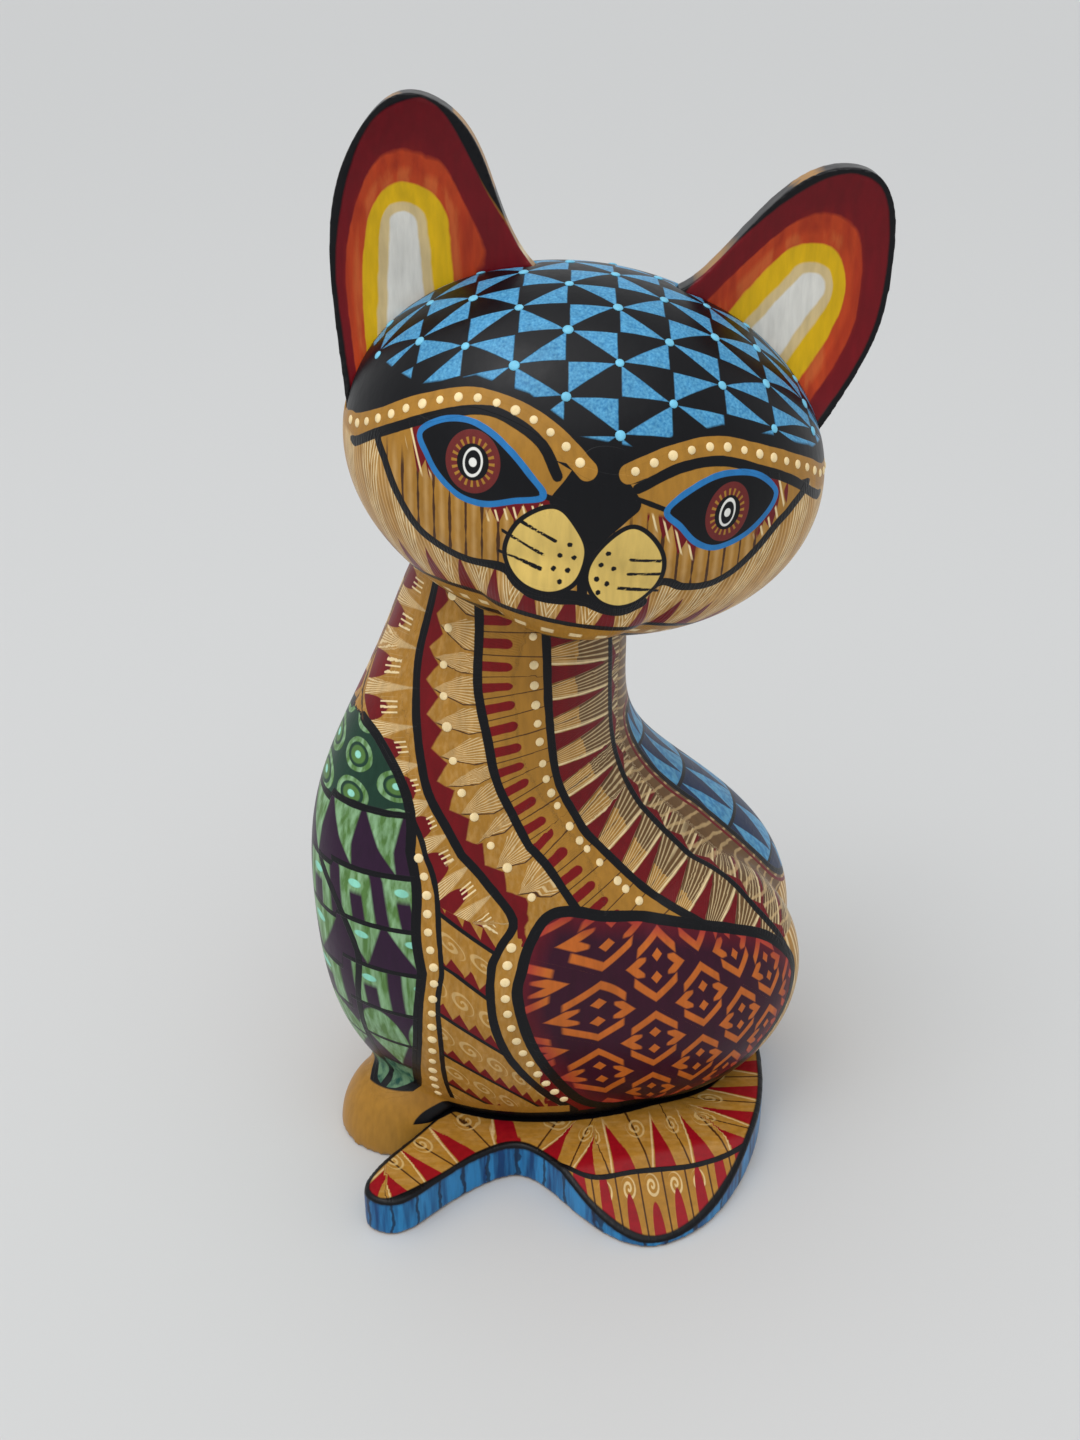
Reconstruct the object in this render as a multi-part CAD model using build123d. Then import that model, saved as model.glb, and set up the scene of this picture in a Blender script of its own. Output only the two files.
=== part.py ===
"""Carved and painted wooden cat, sitting with its head tilted and its tail wrapped round its feet.

It is joined as a wood carver joins such a figure: a solid torso, a head let on to the neck over a
dowel, two hollowed ears tenoned and pegged into the crown, and a flat tail lapped under the torso
and pegged from below. Every joint is glued, so nothing moves.

Millimetres, +Z up. The face looks along -Y, the chest is turned towards -X. The origin is on the
flat underside of the torso.
"""

from build123d import *

import math
import os

# ---------------------------------------------------------------- torso
TORSO_HEIGHT = 109.0  # floor to where the neck enters the head
TORSO_LENGTH = 90.0  # chest to rump, at the widest station
TORSO_WIDTH = 58.0  # flank to flank, at the widest station
NECK_DIAMETER = 35.0
NECK_LET_IN = 3.0  # how far the neck's sawn end stands up inside the head
NECK_X, NECK_Y = -6.0, 1.0  # centre of the neck's sawn end

# Stations up the torso: height as a share of TORSO_HEIGHT, centre x and y as shares of
# TORSO_LENGTH, length and width as shares of the full ones, and the long axis's turn in degrees.
STATIONS = (
    (0.000, 0.034, 0.055, 0.74, 0.84, 14),
    (0.090, 0.026, 0.046, 0.84, 0.92, 16),
    (0.220, 0.012, 0.028, 0.96, 0.99, 20),
    (0.380, -0.008, 0.018, 0.99, 0.98, 24),
    (0.540, -0.090, 0.015, 0.83, 0.86, 26),
    (0.680, -0.145, 0.005, 0.62, 0.70, 26),
    (0.800, -0.125, 0.005, 0.50, 0.63, 18),
    (0.900, -0.100, 0.010, 0.435, 0.565, 8),
)

HAUNCH_LENGTH, HAUNCH_DEPTH, HAUNCH_HEIGHT = 56.0, 34.0, 52.0  # the swell of the near thigh
HAUNCH_CENTRE = (16.0, -9.0, 30.0)
HAUNCH_TURN = 12.0
PAW_LENGTH, PAW_WIDTH, PAW_HEIGHT = 26.0, 22.0, 15.5  # the forefoot, toes towards -X
PAW_CENTRE = (-27.8, -13.5)
FLANK_LENGTH, FLANK_DEPTH, FLANK_HEIGHT = 50.0, 30.0, 44.0  # the far thigh
FLANK_CENTRE = (10.0, 16.0, 25.0)

# ---------------------------------------------------------------- head
HEAD_WIDTH, HEAD_DEPTH, HEAD_HEIGHT = 75.0, 60.0, 56.0
HEAD_RISE = 18.0  # head's centre above the neck's sawn end
HEAD_SHIFT_X, HEAD_SHIFT_Y = 9.1, -6.0  # head's centre from the neck's axis
HEAD_ROLL = 11.5  # tilt towards +X, in degrees about Y
MUZZLE_WIDTH, MUZZLE_DEPTH, MUZZLE_HEIGHT = 30.0, 22.0, 22.0
MUZZLE_DROP, MUZZLE_REACH = 11.5, 19.0  # below and in front of the head's centre

# ---------------------------------------------------------------- ears
EAR_THICKNESS = 4.5
EAR_HOLLOW_RADIUS = 46.0  # of the scooped front face
EAR_DEPTH_Y = 2.5  # back of the scoop behind the head's centre
EAR_HOUSING = 4.0  # how far the ear's foot is let into the crown
TENON_WIDTH, TENON_LENGTH = 14.0, 9.0  # tongue below the foot
# Each ear: centre of its foot on the face's own plane, across and up from the head's centre as
# shares of the half width and half height; lean in degrees; half width; length.
LEFT_EAR = {"across": -0.602, "up": 0.402, "lean": -18.9, "half_width": 17.0, "length": 37.4}
RIGHT_EAR = {"across": 0.544, "up": 0.634, "lean": 23.5, "half_width": 14.8, "length": 33.0}
# Rims from the outer foot over the tip to the inner foot, in half widths and lengths.
LEFT_RIM = (
    (1.00, -0.23), (0.94, 0.42), (0.52, 0.87), (0.04, 1.00), (-0.28, 0.92), (-0.56, 0.58), (-0.98, 0.21),
)
RIGHT_RIM = (
    (1.05, -0.10), (1.03, 0.26), (0.89, 0.52), (0.56, 0.77), (0.20, 0.945), (-0.12, 1.00), (-0.45, 0.93),
    (-0.71, 0.69), (-0.99, 0.11),
)

# ---------------------------------------------------------------- tail
TAIL_THICKNESS = 7.5
# Outline on the floor, from the root at the rump, round the front to the tip by the forefoot and
# back under the torso, as shares of TORSO_LENGTH.
TAIL_OUTLINE = (
    (0.418, 0.085), (0.425, -0.060), (0.405, -0.210), (0.345, -0.360), (0.250, -0.475), (0.155, -0.510),
    (0.060, -0.460), (-0.020, -0.370), (-0.085, -0.325), (-0.155, -0.350), (-0.250, -0.430),
    (-0.330, -0.478), (-0.375, -0.450), (-0.365, -0.395), (-0.295, -0.300), (-0.215, -0.200),
    (-0.120, -0.130), (0.060, -0.110), (0.240, -0.030), (0.325, 0.060), (0.372, 0.118),
)
LOBE_RIDGE = ((0.010, -0.385), (0.385, -0.290))  # where the lobe begins to fall to the floor
LOBE_EDGE_HEIGHT = 1.5  # left at the lobe's outermost point

# ---------------------------------------------------------------- dowels and pegs
NECK_DOWEL_DIAMETER, NECK_DOWEL_LENGTH = 8.0, 30.0
EAR_PEG_DIAMETER, EAR_PEG_LENGTH, EAR_PEG_SPACING = 2.0, 12.0, 8.0
TAIL_PEG_DIAMETER, TAIL_PEG_LENGTH = 4.0, 18.0
TAIL_PEG_PLACES = ((-0.140, -0.190), (0.080, -0.170), (0.300, -0.100))  # shares of TORSO_LENGTH
GLUE_GAP = 0.1  # between the faces of a glued joint
NECK_GAP = 0.45  # round the neck in its socket, where the neck swells below its end
PEG_GAP = 0.05  # round every dowel and peg
END_GAP = 0.5  # past the ends of a dowel or peg

BIG = 400.0  # larger than the figure, for the blocks that cut it

neck_top = TORSO_HEIGHT
head_centre = (NECK_X + HEAD_SHIFT_X, NECK_Y + HEAD_SHIFT_Y, neck_top + HEAD_RISE)
HEAD_FRAME = Pos(*head_centre) * Rot(0, HEAD_ROLL, 0)


def ellipsoid(length, depth, height, pole_turn=0.0):
    """Solid ellipsoid about the origin, of the given full sizes; pole_turn swings its poles off Z."""
    return scale(Rot(0, pole_turn, 0) * Sphere(1), by=(length / 2, depth / 2, height / 2))


def dowel(diameter, length):
    """Upright cylinder, centred on the origin."""
    return Cylinder(diameter / 2, length)


def dowel_hole(diameter, length):
    return Cylinder(diameter / 2 + PEG_GAP, length + 2 * END_GAP)


# ---------------------------------------------------------------- torso
def torso_blank():
    """Torso and neck as one smooth loft, with the swell of each thigh and the forefoot."""
    sections = []
    for height, x, y, length, width, turn in STATIONS:
        level = Pos(x * TORSO_LENGTH, y * TORSO_LENGTH, height * TORSO_HEIGHT)
        oval = Ellipse(length * TORSO_LENGTH / 2, width * TORSO_WIDTH / 2)
        sections.append(level * Rot(0, 0, turn) * oval)
    neck = Pos(NECK_X, NECK_Y, TORSO_HEIGHT) * Circle(NECK_DIAMETER / 2)
    sections.append(neck)
    haunch = Pos(*HAUNCH_CENTRE) * Rot(0, 0, HAUNCH_TURN) * ellipsoid(HAUNCH_LENGTH, HAUNCH_DEPTH, HAUNCH_HEIGHT)
    flank = Pos(*FLANK_CENTRE) * Rot(0, 0, HAUNCH_TURN) * ellipsoid(FLANK_LENGTH, FLANK_DEPTH, FLANK_HEIGHT)
    paw = Pos(*PAW_CENTRE, 0) * ellipsoid(PAW_LENGTH, PAW_WIDTH, 2 * PAW_HEIGHT)
    floor = Pos(0, 0, -BIG / 2) * Box(BIG, BIG, BIG)
    neck_end = Pos(NECK_X, NECK_Y, TORSO_HEIGHT + NECK_LET_IN / 2) * Cylinder(NECK_DIAMETER / 2, NECK_LET_IN)
    return loft(sections).fuse(neck_end, haunch, flank, paw).cut(floor)


# ---------------------------------------------------------------- head and ears
def head_blank():
    """Broad skull with a low muzzle, in the tilted frame of the face."""
    skull = ellipsoid(HEAD_WIDTH, HEAD_DEPTH, HEAD_HEIGHT, 90)
    muzzle = ellipsoid(MUZZLE_WIDTH, MUZZLE_DEPTH, MUZZLE_HEIGHT, 90)
    return HEAD_FRAME * skull.fuse(Pos(0, -MUZZLE_REACH, -MUZZLE_DROP) * muzzle)


def ear_frame(ear):
    """Frame of an ear: origin at the middle of its foot, X outwards from the crown, Z to its tip."""
    foot = Pos(ear["across"] * HEAD_WIDTH / 2, EAR_DEPTH_Y, ear["up"] * HEAD_HEIGHT / 2)
    return HEAD_FRAME * foot * Rot(0, ear["lean"], 0)


def outwards(ear):
    return math.copysign(1, ear["across"])


def foot_turn(ear, rim):
    """Angle of the ear's foot line, from its outer end to its inner end, in degrees."""
    outer, inner = rim[0], rim[-1]
    rise = (outer[1] - inner[1]) * ear["length"]
    run = (outer[0] - inner[0]) * ear["half_width"] * outwards(ear)
    return math.degrees(math.atan(rise / run))


def ear_blank(ear, rim, grow=0.0):
    """Ear with its foot and tongue, cut from a spherical shell; grow widens it for its mortise."""
    side = outwards(ear)
    turn = foot_turn(ear, rim)
    half_width, length = ear["half_width"] + grow, ear["length"] + grow
    points = [(side * u * half_width, v * length) for u, v in rim]
    drop = Vector(0, -EAR_HOUSING - grow, 0).rotate(Axis.Z, turn)
    foot = [Vector(*points[-1]) * 0.8 + drop, Vector(*points[0]) * 0.8 + drop]
    plate = make_face(Spline(points).edges() + Polyline(points[-1], *foot, points[0]).edges())
    tongue_height = TENON_LENGTH + EAR_HOUSING + grow
    tongue = Pos(0, -tongue_height / 2) * Rectangle(TENON_WIDTH + 2 * grow, tongue_height)
    outline = plate + Rot(0, 0, turn) * tongue
    slab = extrude(Plane.XZ * outline, amount=BIG / 8, both=True)
    hollow_centre = Pos(0, -EAR_HOLLOW_RADIUS, ear["length"] / 3)
    back = Sphere(EAR_HOLLOW_RADIUS + EAR_THICKNESS + grow)
    front = Sphere(EAR_HOLLOW_RADIUS - grow)
    rear_half = Pos(0, BIG / 2 - EAR_HOLLOW_RADIUS, 0) * Box(BIG, BIG, BIG)
    return ear_frame(ear) * (slab & (hollow_centre * (back - front)) & rear_half)


def ear_peg_frames(ear, rim):
    """Frames of the two pegs, centred on the end of the tongue and square to the foot."""
    end = -TENON_LENGTH - EAR_HOUSING
    turn = foot_turn(ear, rim)
    frames = []
    for x in (-EAR_PEG_SPACING / 2, EAR_PEG_SPACING / 2):
        place = Vector(x, end, 0).rotate(Axis.Z, turn)
        radius = EAR_HOLLOW_RADIUS + EAR_THICKNESS / 2
        rise = place.Y - ear["length"] / 3
        behind = math.sqrt(radius**2 - place.X**2 - rise**2) - EAR_HOLLOW_RADIUS
        frames.append(ear_frame(ear) * Pos(place.X, behind, place.Y) * Rot(0, -turn, 0))
    return frames


# ---------------------------------------------------------------- tail
def tail_blank(grow=0.0):
    """Flat tail from its outline; grow widens it for its rebate in the torso."""
    edge = Spline([(x * TORSO_LENGTH, y * TORSO_LENGTH) for x, y in TAIL_OUTLINE], periodic=True)
    if grow:
        steps = [i / 120 for i in range(120)]
        edge = Spline([edge @ t + (edge % t).cross(Vector(0, 0, -grow)) for t in steps], periodic=True)
    return Pos(0, 0, -grow) * extrude(make_face(edge), amount=TAIL_THICKNESS + 2 * grow)


def lobe_bevel():
    """Wedge that takes the tail's front lobe down from its ridge to a thin edge."""
    start, end = (Vector(x * TORSO_LENGTH, y * TORSO_LENGTH, TAIL_THICKNESS) for x, y in LOBE_RIDGE)
    along = (end - start).normalized()
    lowest = min(TAIL_OUTLINE, key=lambda p: p[1])
    tip = Vector(lowest[0] * TORSO_LENGTH, lowest[1] * TORSO_LENGTH, LOBE_EDGE_HEIGHT)
    up = along.cross(tip - start)
    slope = Plane(origin=start, x_dir=along, z_dir=up if up.Z > 0 else -up)
    near_side = slope * Pos(0, -BIG / 8, BIG / 8) * Box(BIG, BIG / 4, BIG / 4)
    return near_side


def tail_peg_frames():
    """Frames of the tail's pegs, flush with its underside."""
    return [Pos(x * TORSO_LENGTH, y * TORSO_LENGTH, TAIL_PEG_LENGTH / 2) for x, y in TAIL_PEG_PLACES]


# ---------------------------------------------------------------- the joined figure
neck_dowel_frame = Pos(NECK_X, NECK_Y, neck_top)
neck_dowel = neck_dowel_frame * dowel(NECK_DOWEL_DIAMETER, NECK_DOWEL_LENGTH)
neck_bore = neck_dowel_frame * dowel_hole(NECK_DOWEL_DIAMETER, NECK_DOWEL_LENGTH)
socket_height = neck_top + NECK_LET_IN + GLUE_GAP
neck_socket = Pos(NECK_X, NECK_Y, socket_height / 2) * Cylinder(NECK_DIAMETER / 2 + NECK_GAP, socket_height)

tail_pegs = [frame * dowel(TAIL_PEG_DIAMETER, TAIL_PEG_LENGTH) for frame in tail_peg_frames()]
tail_peg_holes = [frame * dowel_hole(TAIL_PEG_DIAMETER, TAIL_PEG_LENGTH) for frame in tail_peg_frames()]
torso = torso_blank().cut(tail_blank(GLUE_GAP), neck_bore, *tail_peg_holes)
tail = tail_blank().cut(lobe_bevel(), *tail_peg_holes)

head = head_blank().cut(neck_socket, neck_bore)
ears, ear_pegs = {}, {}
for side, ear, rim in (("left", LEFT_EAR, LEFT_RIM), ("right", RIGHT_EAR, RIGHT_RIM)):
    frames = ear_peg_frames(ear, rim)
    holes = [frame * dowel_hole(EAR_PEG_DIAMETER, EAR_PEG_LENGTH) for frame in frames]
    head = head.cut(ear_blank(ear, rim, GLUE_GAP), *holes)
    ears[side] = ear_blank(ear, rim).cut(*holes)
    ear_pegs[side] = [frame * dowel(EAR_PEG_DIAMETER, EAR_PEG_LENGTH) for frame in frames]

parts = {
    "torso": torso,
    "head": head,
    "neck_dowel": neck_dowel,
    "left_ear": ears["left"],
    "right_ear": ears["right"],
    "left_ear_pegs": Compound(ear_pegs["left"]),
    "right_ear_pegs": Compound(ear_pegs["right"]),
    "tail": tail,
    "tail_pegs": Compound(tail_pegs),
}

os.makedirs("parts", exist_ok=True)
for name, shape in parts.items():
    solids = shape.solids()
    export_step(solids[0] if len(solids) == 1 else Compound(solids), f"parts/{name}.step")
    print(name, len(solids), "solid(s),", round(sum(s.volume for s in solids)), "mm3")
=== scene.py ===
# %% [markdown]
# # A carved and painted cat
# The figure is whittled from soft copal wood, sanded, sealed and then covered all over with fine
# brush work. This notebook takes the plain carved solids, rubs their edges down, lays the painter's
# drawing over them as distances to a few brush lines, and mixes the paint from those distances.

# %% Load the carved solids
import math

import bmesh
import bpy
import numpy as np
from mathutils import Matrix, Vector
from mathutils.bvhtree import BVHTree


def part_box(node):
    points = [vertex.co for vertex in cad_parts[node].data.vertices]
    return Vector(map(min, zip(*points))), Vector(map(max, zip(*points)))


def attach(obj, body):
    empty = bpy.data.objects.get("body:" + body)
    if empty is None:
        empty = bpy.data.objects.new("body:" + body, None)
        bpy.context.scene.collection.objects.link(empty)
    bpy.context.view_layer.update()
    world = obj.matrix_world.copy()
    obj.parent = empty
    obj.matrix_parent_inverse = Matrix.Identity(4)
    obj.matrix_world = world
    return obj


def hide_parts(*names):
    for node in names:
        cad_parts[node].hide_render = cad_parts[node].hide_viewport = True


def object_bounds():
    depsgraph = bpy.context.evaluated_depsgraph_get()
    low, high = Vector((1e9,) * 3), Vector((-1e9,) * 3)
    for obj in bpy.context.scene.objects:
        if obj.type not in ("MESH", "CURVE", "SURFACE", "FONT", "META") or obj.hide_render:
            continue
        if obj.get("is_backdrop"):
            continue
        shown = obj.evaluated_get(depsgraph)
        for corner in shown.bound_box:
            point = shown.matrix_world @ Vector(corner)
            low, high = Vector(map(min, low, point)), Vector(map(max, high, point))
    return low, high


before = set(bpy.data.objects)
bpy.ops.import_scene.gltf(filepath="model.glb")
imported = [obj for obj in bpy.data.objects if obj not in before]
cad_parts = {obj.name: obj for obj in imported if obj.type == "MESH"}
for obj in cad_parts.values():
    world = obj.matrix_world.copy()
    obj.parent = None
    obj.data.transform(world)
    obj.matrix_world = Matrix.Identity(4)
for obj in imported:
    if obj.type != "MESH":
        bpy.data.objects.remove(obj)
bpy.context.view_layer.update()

# %% [markdown]
# ## Rubbing the solids down
# A knife-cut edge never stays sharp: the carver sands every piece before it is primed. Each visible
# solid is copied into an even, closed mesh and its edges are relaxed a little. The torso gets the
# most rubbing, because the thighs and the forefoot flow into the body without a crease.

# %% Sanded copies
MM = 1000.0


def applied(work):
    """The mesh of an object with its modifiers worked in."""
    graph = bpy.context.evaluated_depsgraph_get()
    return bpy.data.meshes.new_from_object(work.evaluated_get(graph))


def sanded(node, grain, strokes, cut_below=None):
    """An even closed copy of a solid; grain is its mesh size in mm, strokes how much it is rubbed.
    Below cut_below (mm) the wood is left as the saw cut it, so that the glued faces still meet."""
    work = bpy.data.objects.new(node + "_work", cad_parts[node].data.copy())
    bpy.context.scene.collection.objects.link(work)
    shell = bmesh.new()
    shell.from_mesh(work.data)
    bmesh.ops.remove_doubles(shell, verts=shell.verts, dist=1e-6)
    shell.to_mesh(work.data)
    shell.free()
    even = work.modifiers.new("even", "REMESH")
    even.mode = "VOXEL"
    even.voxel_size = grain * 1.0 / MM
    work.data = applied(work)
    work.modifiers.clear()
    rub = work.modifiers.new("rub", "SMOOTH")
    rub.factor = 0.5
    rub.iterations = strokes
    if cut_below:
        touched = work.vertex_groups.new(name="rubbed")
        for v in work.data.vertices:
            touched.add([v.index], min(1.0, max(0.0, (v.co.z * MM - cut_below) / 5)), "REPLACE")
        rub.vertex_group = "rubbed"
    mesh = applied(work)
    bpy.data.objects.remove(work)
    mesh.name = node + "_carved"
    mesh.materials.clear()
    mesh.shade_smooth()
    piece = bpy.data.objects.new(node + "_carved", mesh)
    bpy.context.scene.collection.objects.link(piece)
    print(piece.name, len(mesh.vertices), "vertices")
    return piece


torso = sanded("torso", 0.62, 34, cut_below=10.5)
head = sanded("head", 0.42, 30)
left_ear = sanded("left_ear", 0.36, 8)
right_ear = sanded("right_ear", 0.36, 8)
tail = sanded("tail", 0.42, 8)

# %% [markdown]
# ## The painter's drawing
# Every line on the figure starts as a few points that the hand moves between. The points are given
# where they are easy to judge: on the face as millimetres across and up from its middle, on the body
# as degrees round from the middle of the chest and millimetres above the shelf. They are joined
# smoothly, pressed on to the wood, and each spot of the surface then knows how far it is from the
# line. That distance is all the paint needs to give a line an even width anywhere.

# %% Lines on a surface
def coordinates(piece):
    """The piece's vertices in millimetres, one row each."""
    places = np.empty(len(piece.data.vertices) * 3, np.float32)
    piece.data.vertices.foreach_get("co", places)
    return places.reshape(-1, 3).astype(float) * MM


def smooth_line(points, closed=False, step=1.0):
    """A flowing line through given points."""
    p = np.array(points, float)
    p = np.vstack([p[-1], p, p[:2]]) if closed else np.vstack([2 * p[0] - p[1], p, 2 * p[-1] - p[-2]])
    line = []
    for a, b, c, d in zip(p, p[1:], p[2:], p[3:]):
        count = max(2, int(np.linalg.norm(c - b) / step))
        for t in np.arange(count) / count:
            bend, twist = 2 * a - 5 * b + 4 * c - d, 3 * b - a - 3 * c + d
            line.append(0.5 * (2 * b + (c - a) * t + bend * t**2 + twist * t**3))
    line.append(p[-2])
    return np.array(line)


def line_distance(places, line, reach=14.0):
    """How far each place is from a line, and how far along the line its nearest point lies."""
    far = np.full(len(places), reach)
    along = np.zeros(len(places))
    near = ((places > line.min(0) - reach) & (places < line.max(0) + reach)).all(1)
    p, best, at, run = places[near], far[near], along[near], 0.0
    for a, b in zip(line[:-1], line[1:]):
        leg = b - a
        length = float(np.linalg.norm(leg))
        if length < 1e-6:
            continue
        t = np.clip((p - a) @ leg / length**2, 0, 1)
        gap = np.linalg.norm(p - a - t[:, None] * leg, axis=1)
        closer = gap < best
        best[closer] = gap[closer]
        at[closer] = run + t[closer] * length
        run += length
    far[near], along[near] = best, at
    return far, along


def within(x, y, outline):
    """Which of the places (x, y) lie inside a closed outline."""
    inside = np.zeros(len(x), bool)
    for (x0, y0), (x1, y1) in zip(outline, np.roll(outline, -1, 0)):
        crosses = (y0 > y) != (y1 > y)
        if crosses.any():
            slope = (x1 - x0) / (y1 - y0 if y1 != y0 else 1e-9)
            inside ^= crosses & (x < x0 + slope * (y - y0))
    return inside


def keep(piece, name, values):
    """Stores one number per vertex on the piece, for its paint to read."""
    layer = piece.data.attributes.new(name, "FLOAT", "POINT")
    layer.data.foreach_set("value", np.asarray(values, np.float32))


def surface_of(piece):
    """The piece's skin, for pressing lines on to it."""
    return BVHTree.FromObject(piece, bpy.context.evaluated_depsgraph_get())


def facing(piece, axis):
    """How far each vertex faces along an axis, from -1 to 1."""
    normals = np.empty(len(piece.data.vertices) * 3, np.float32)
    piece.data.vertices.foreach_get("normal", normals)
    return normals.reshape(-1, 3)[:, axis]


def distance_to(wood, places):
    """How far each place is from another piece, in mm, up to 10."""
    found = [wood.find_nearest(Vector(q / MM), 0.01)[3] for q in places]
    return [10.0 if gap is None else gap * MM for gap in found]


# %% [markdown]
# ## Paint
# The colours are opaque house-painter's acrylics, brushed thin, and sealed with a satin varnish. The
# helper below stacks them in the painter's own order, ground first and fine lines last. Each layer is
# laid where a distance is small enough, its edge trembles a little, and it stands slightly proud.

# %% Paint pot
def srgb(red, green, blue):
    """A colour as it looks on a paint card, 0 to 255, turned into the light it gives."""
    card = (red / 255, green / 255, blue / 255)
    return [((v + 0.055) / 1.055) ** 2.4 if v > 10 / 255 else v / 12.92 for v in card] + [1.0]


BLACK = srgb(7, 8, 13)
OCHRE = srgb(168, 120, 44)
CREAM = srgb(238, 214, 164)
SAND = srgb(205, 164, 104)
BROWN = srgb(72, 42, 18)
MAROON = srgb(110, 6, 16)


def step(kind, swapped=False):
    """One working step of an Ink, laid down as a math node."""
    def worked(self, *others):
        values = (self, *others)
        return self.paint.math(kind, *(values[::-1] if swapped else values))
    return worked


class Ink:
    """One value in a paint's recipe, which can be added to, compared and mixed like a number."""

    def __init__(self, paint, socket):
        self.paint, self.socket = paint, socket

    __add__, __radd__ = step("ADD"), step("ADD", swapped=True)
    __sub__, __rsub__ = step("SUBTRACT"), step("SUBTRACT", swapped=True)
    __mul__, __rmul__ = step("MULTIPLY"), step("MULTIPLY", swapped=True)
    __and__, __or__ = step("MINIMUM"), step("MAXIMUM")
    __truediv__, __abs__ = step("DIVIDE"), step("ABSOLUTE")
    fract, floor, root = step("FRACT"), step("FLOOR"), step("SQRT")

    def __neg__(self):
        return self * -1.0

    def wave(self):
        """Up to 1 and down to 0 again, once in every whole number."""
        return self.paint.math("PINGPONG", self, 0.5) * 2.0


# %% [markdown]
# ### Layers of paint
# A finish starts from its ground colour. Each layer is a colour and a mask that says where it lies,
# and thick strokes also raise the surface. The varnish closes the recipe.

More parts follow.
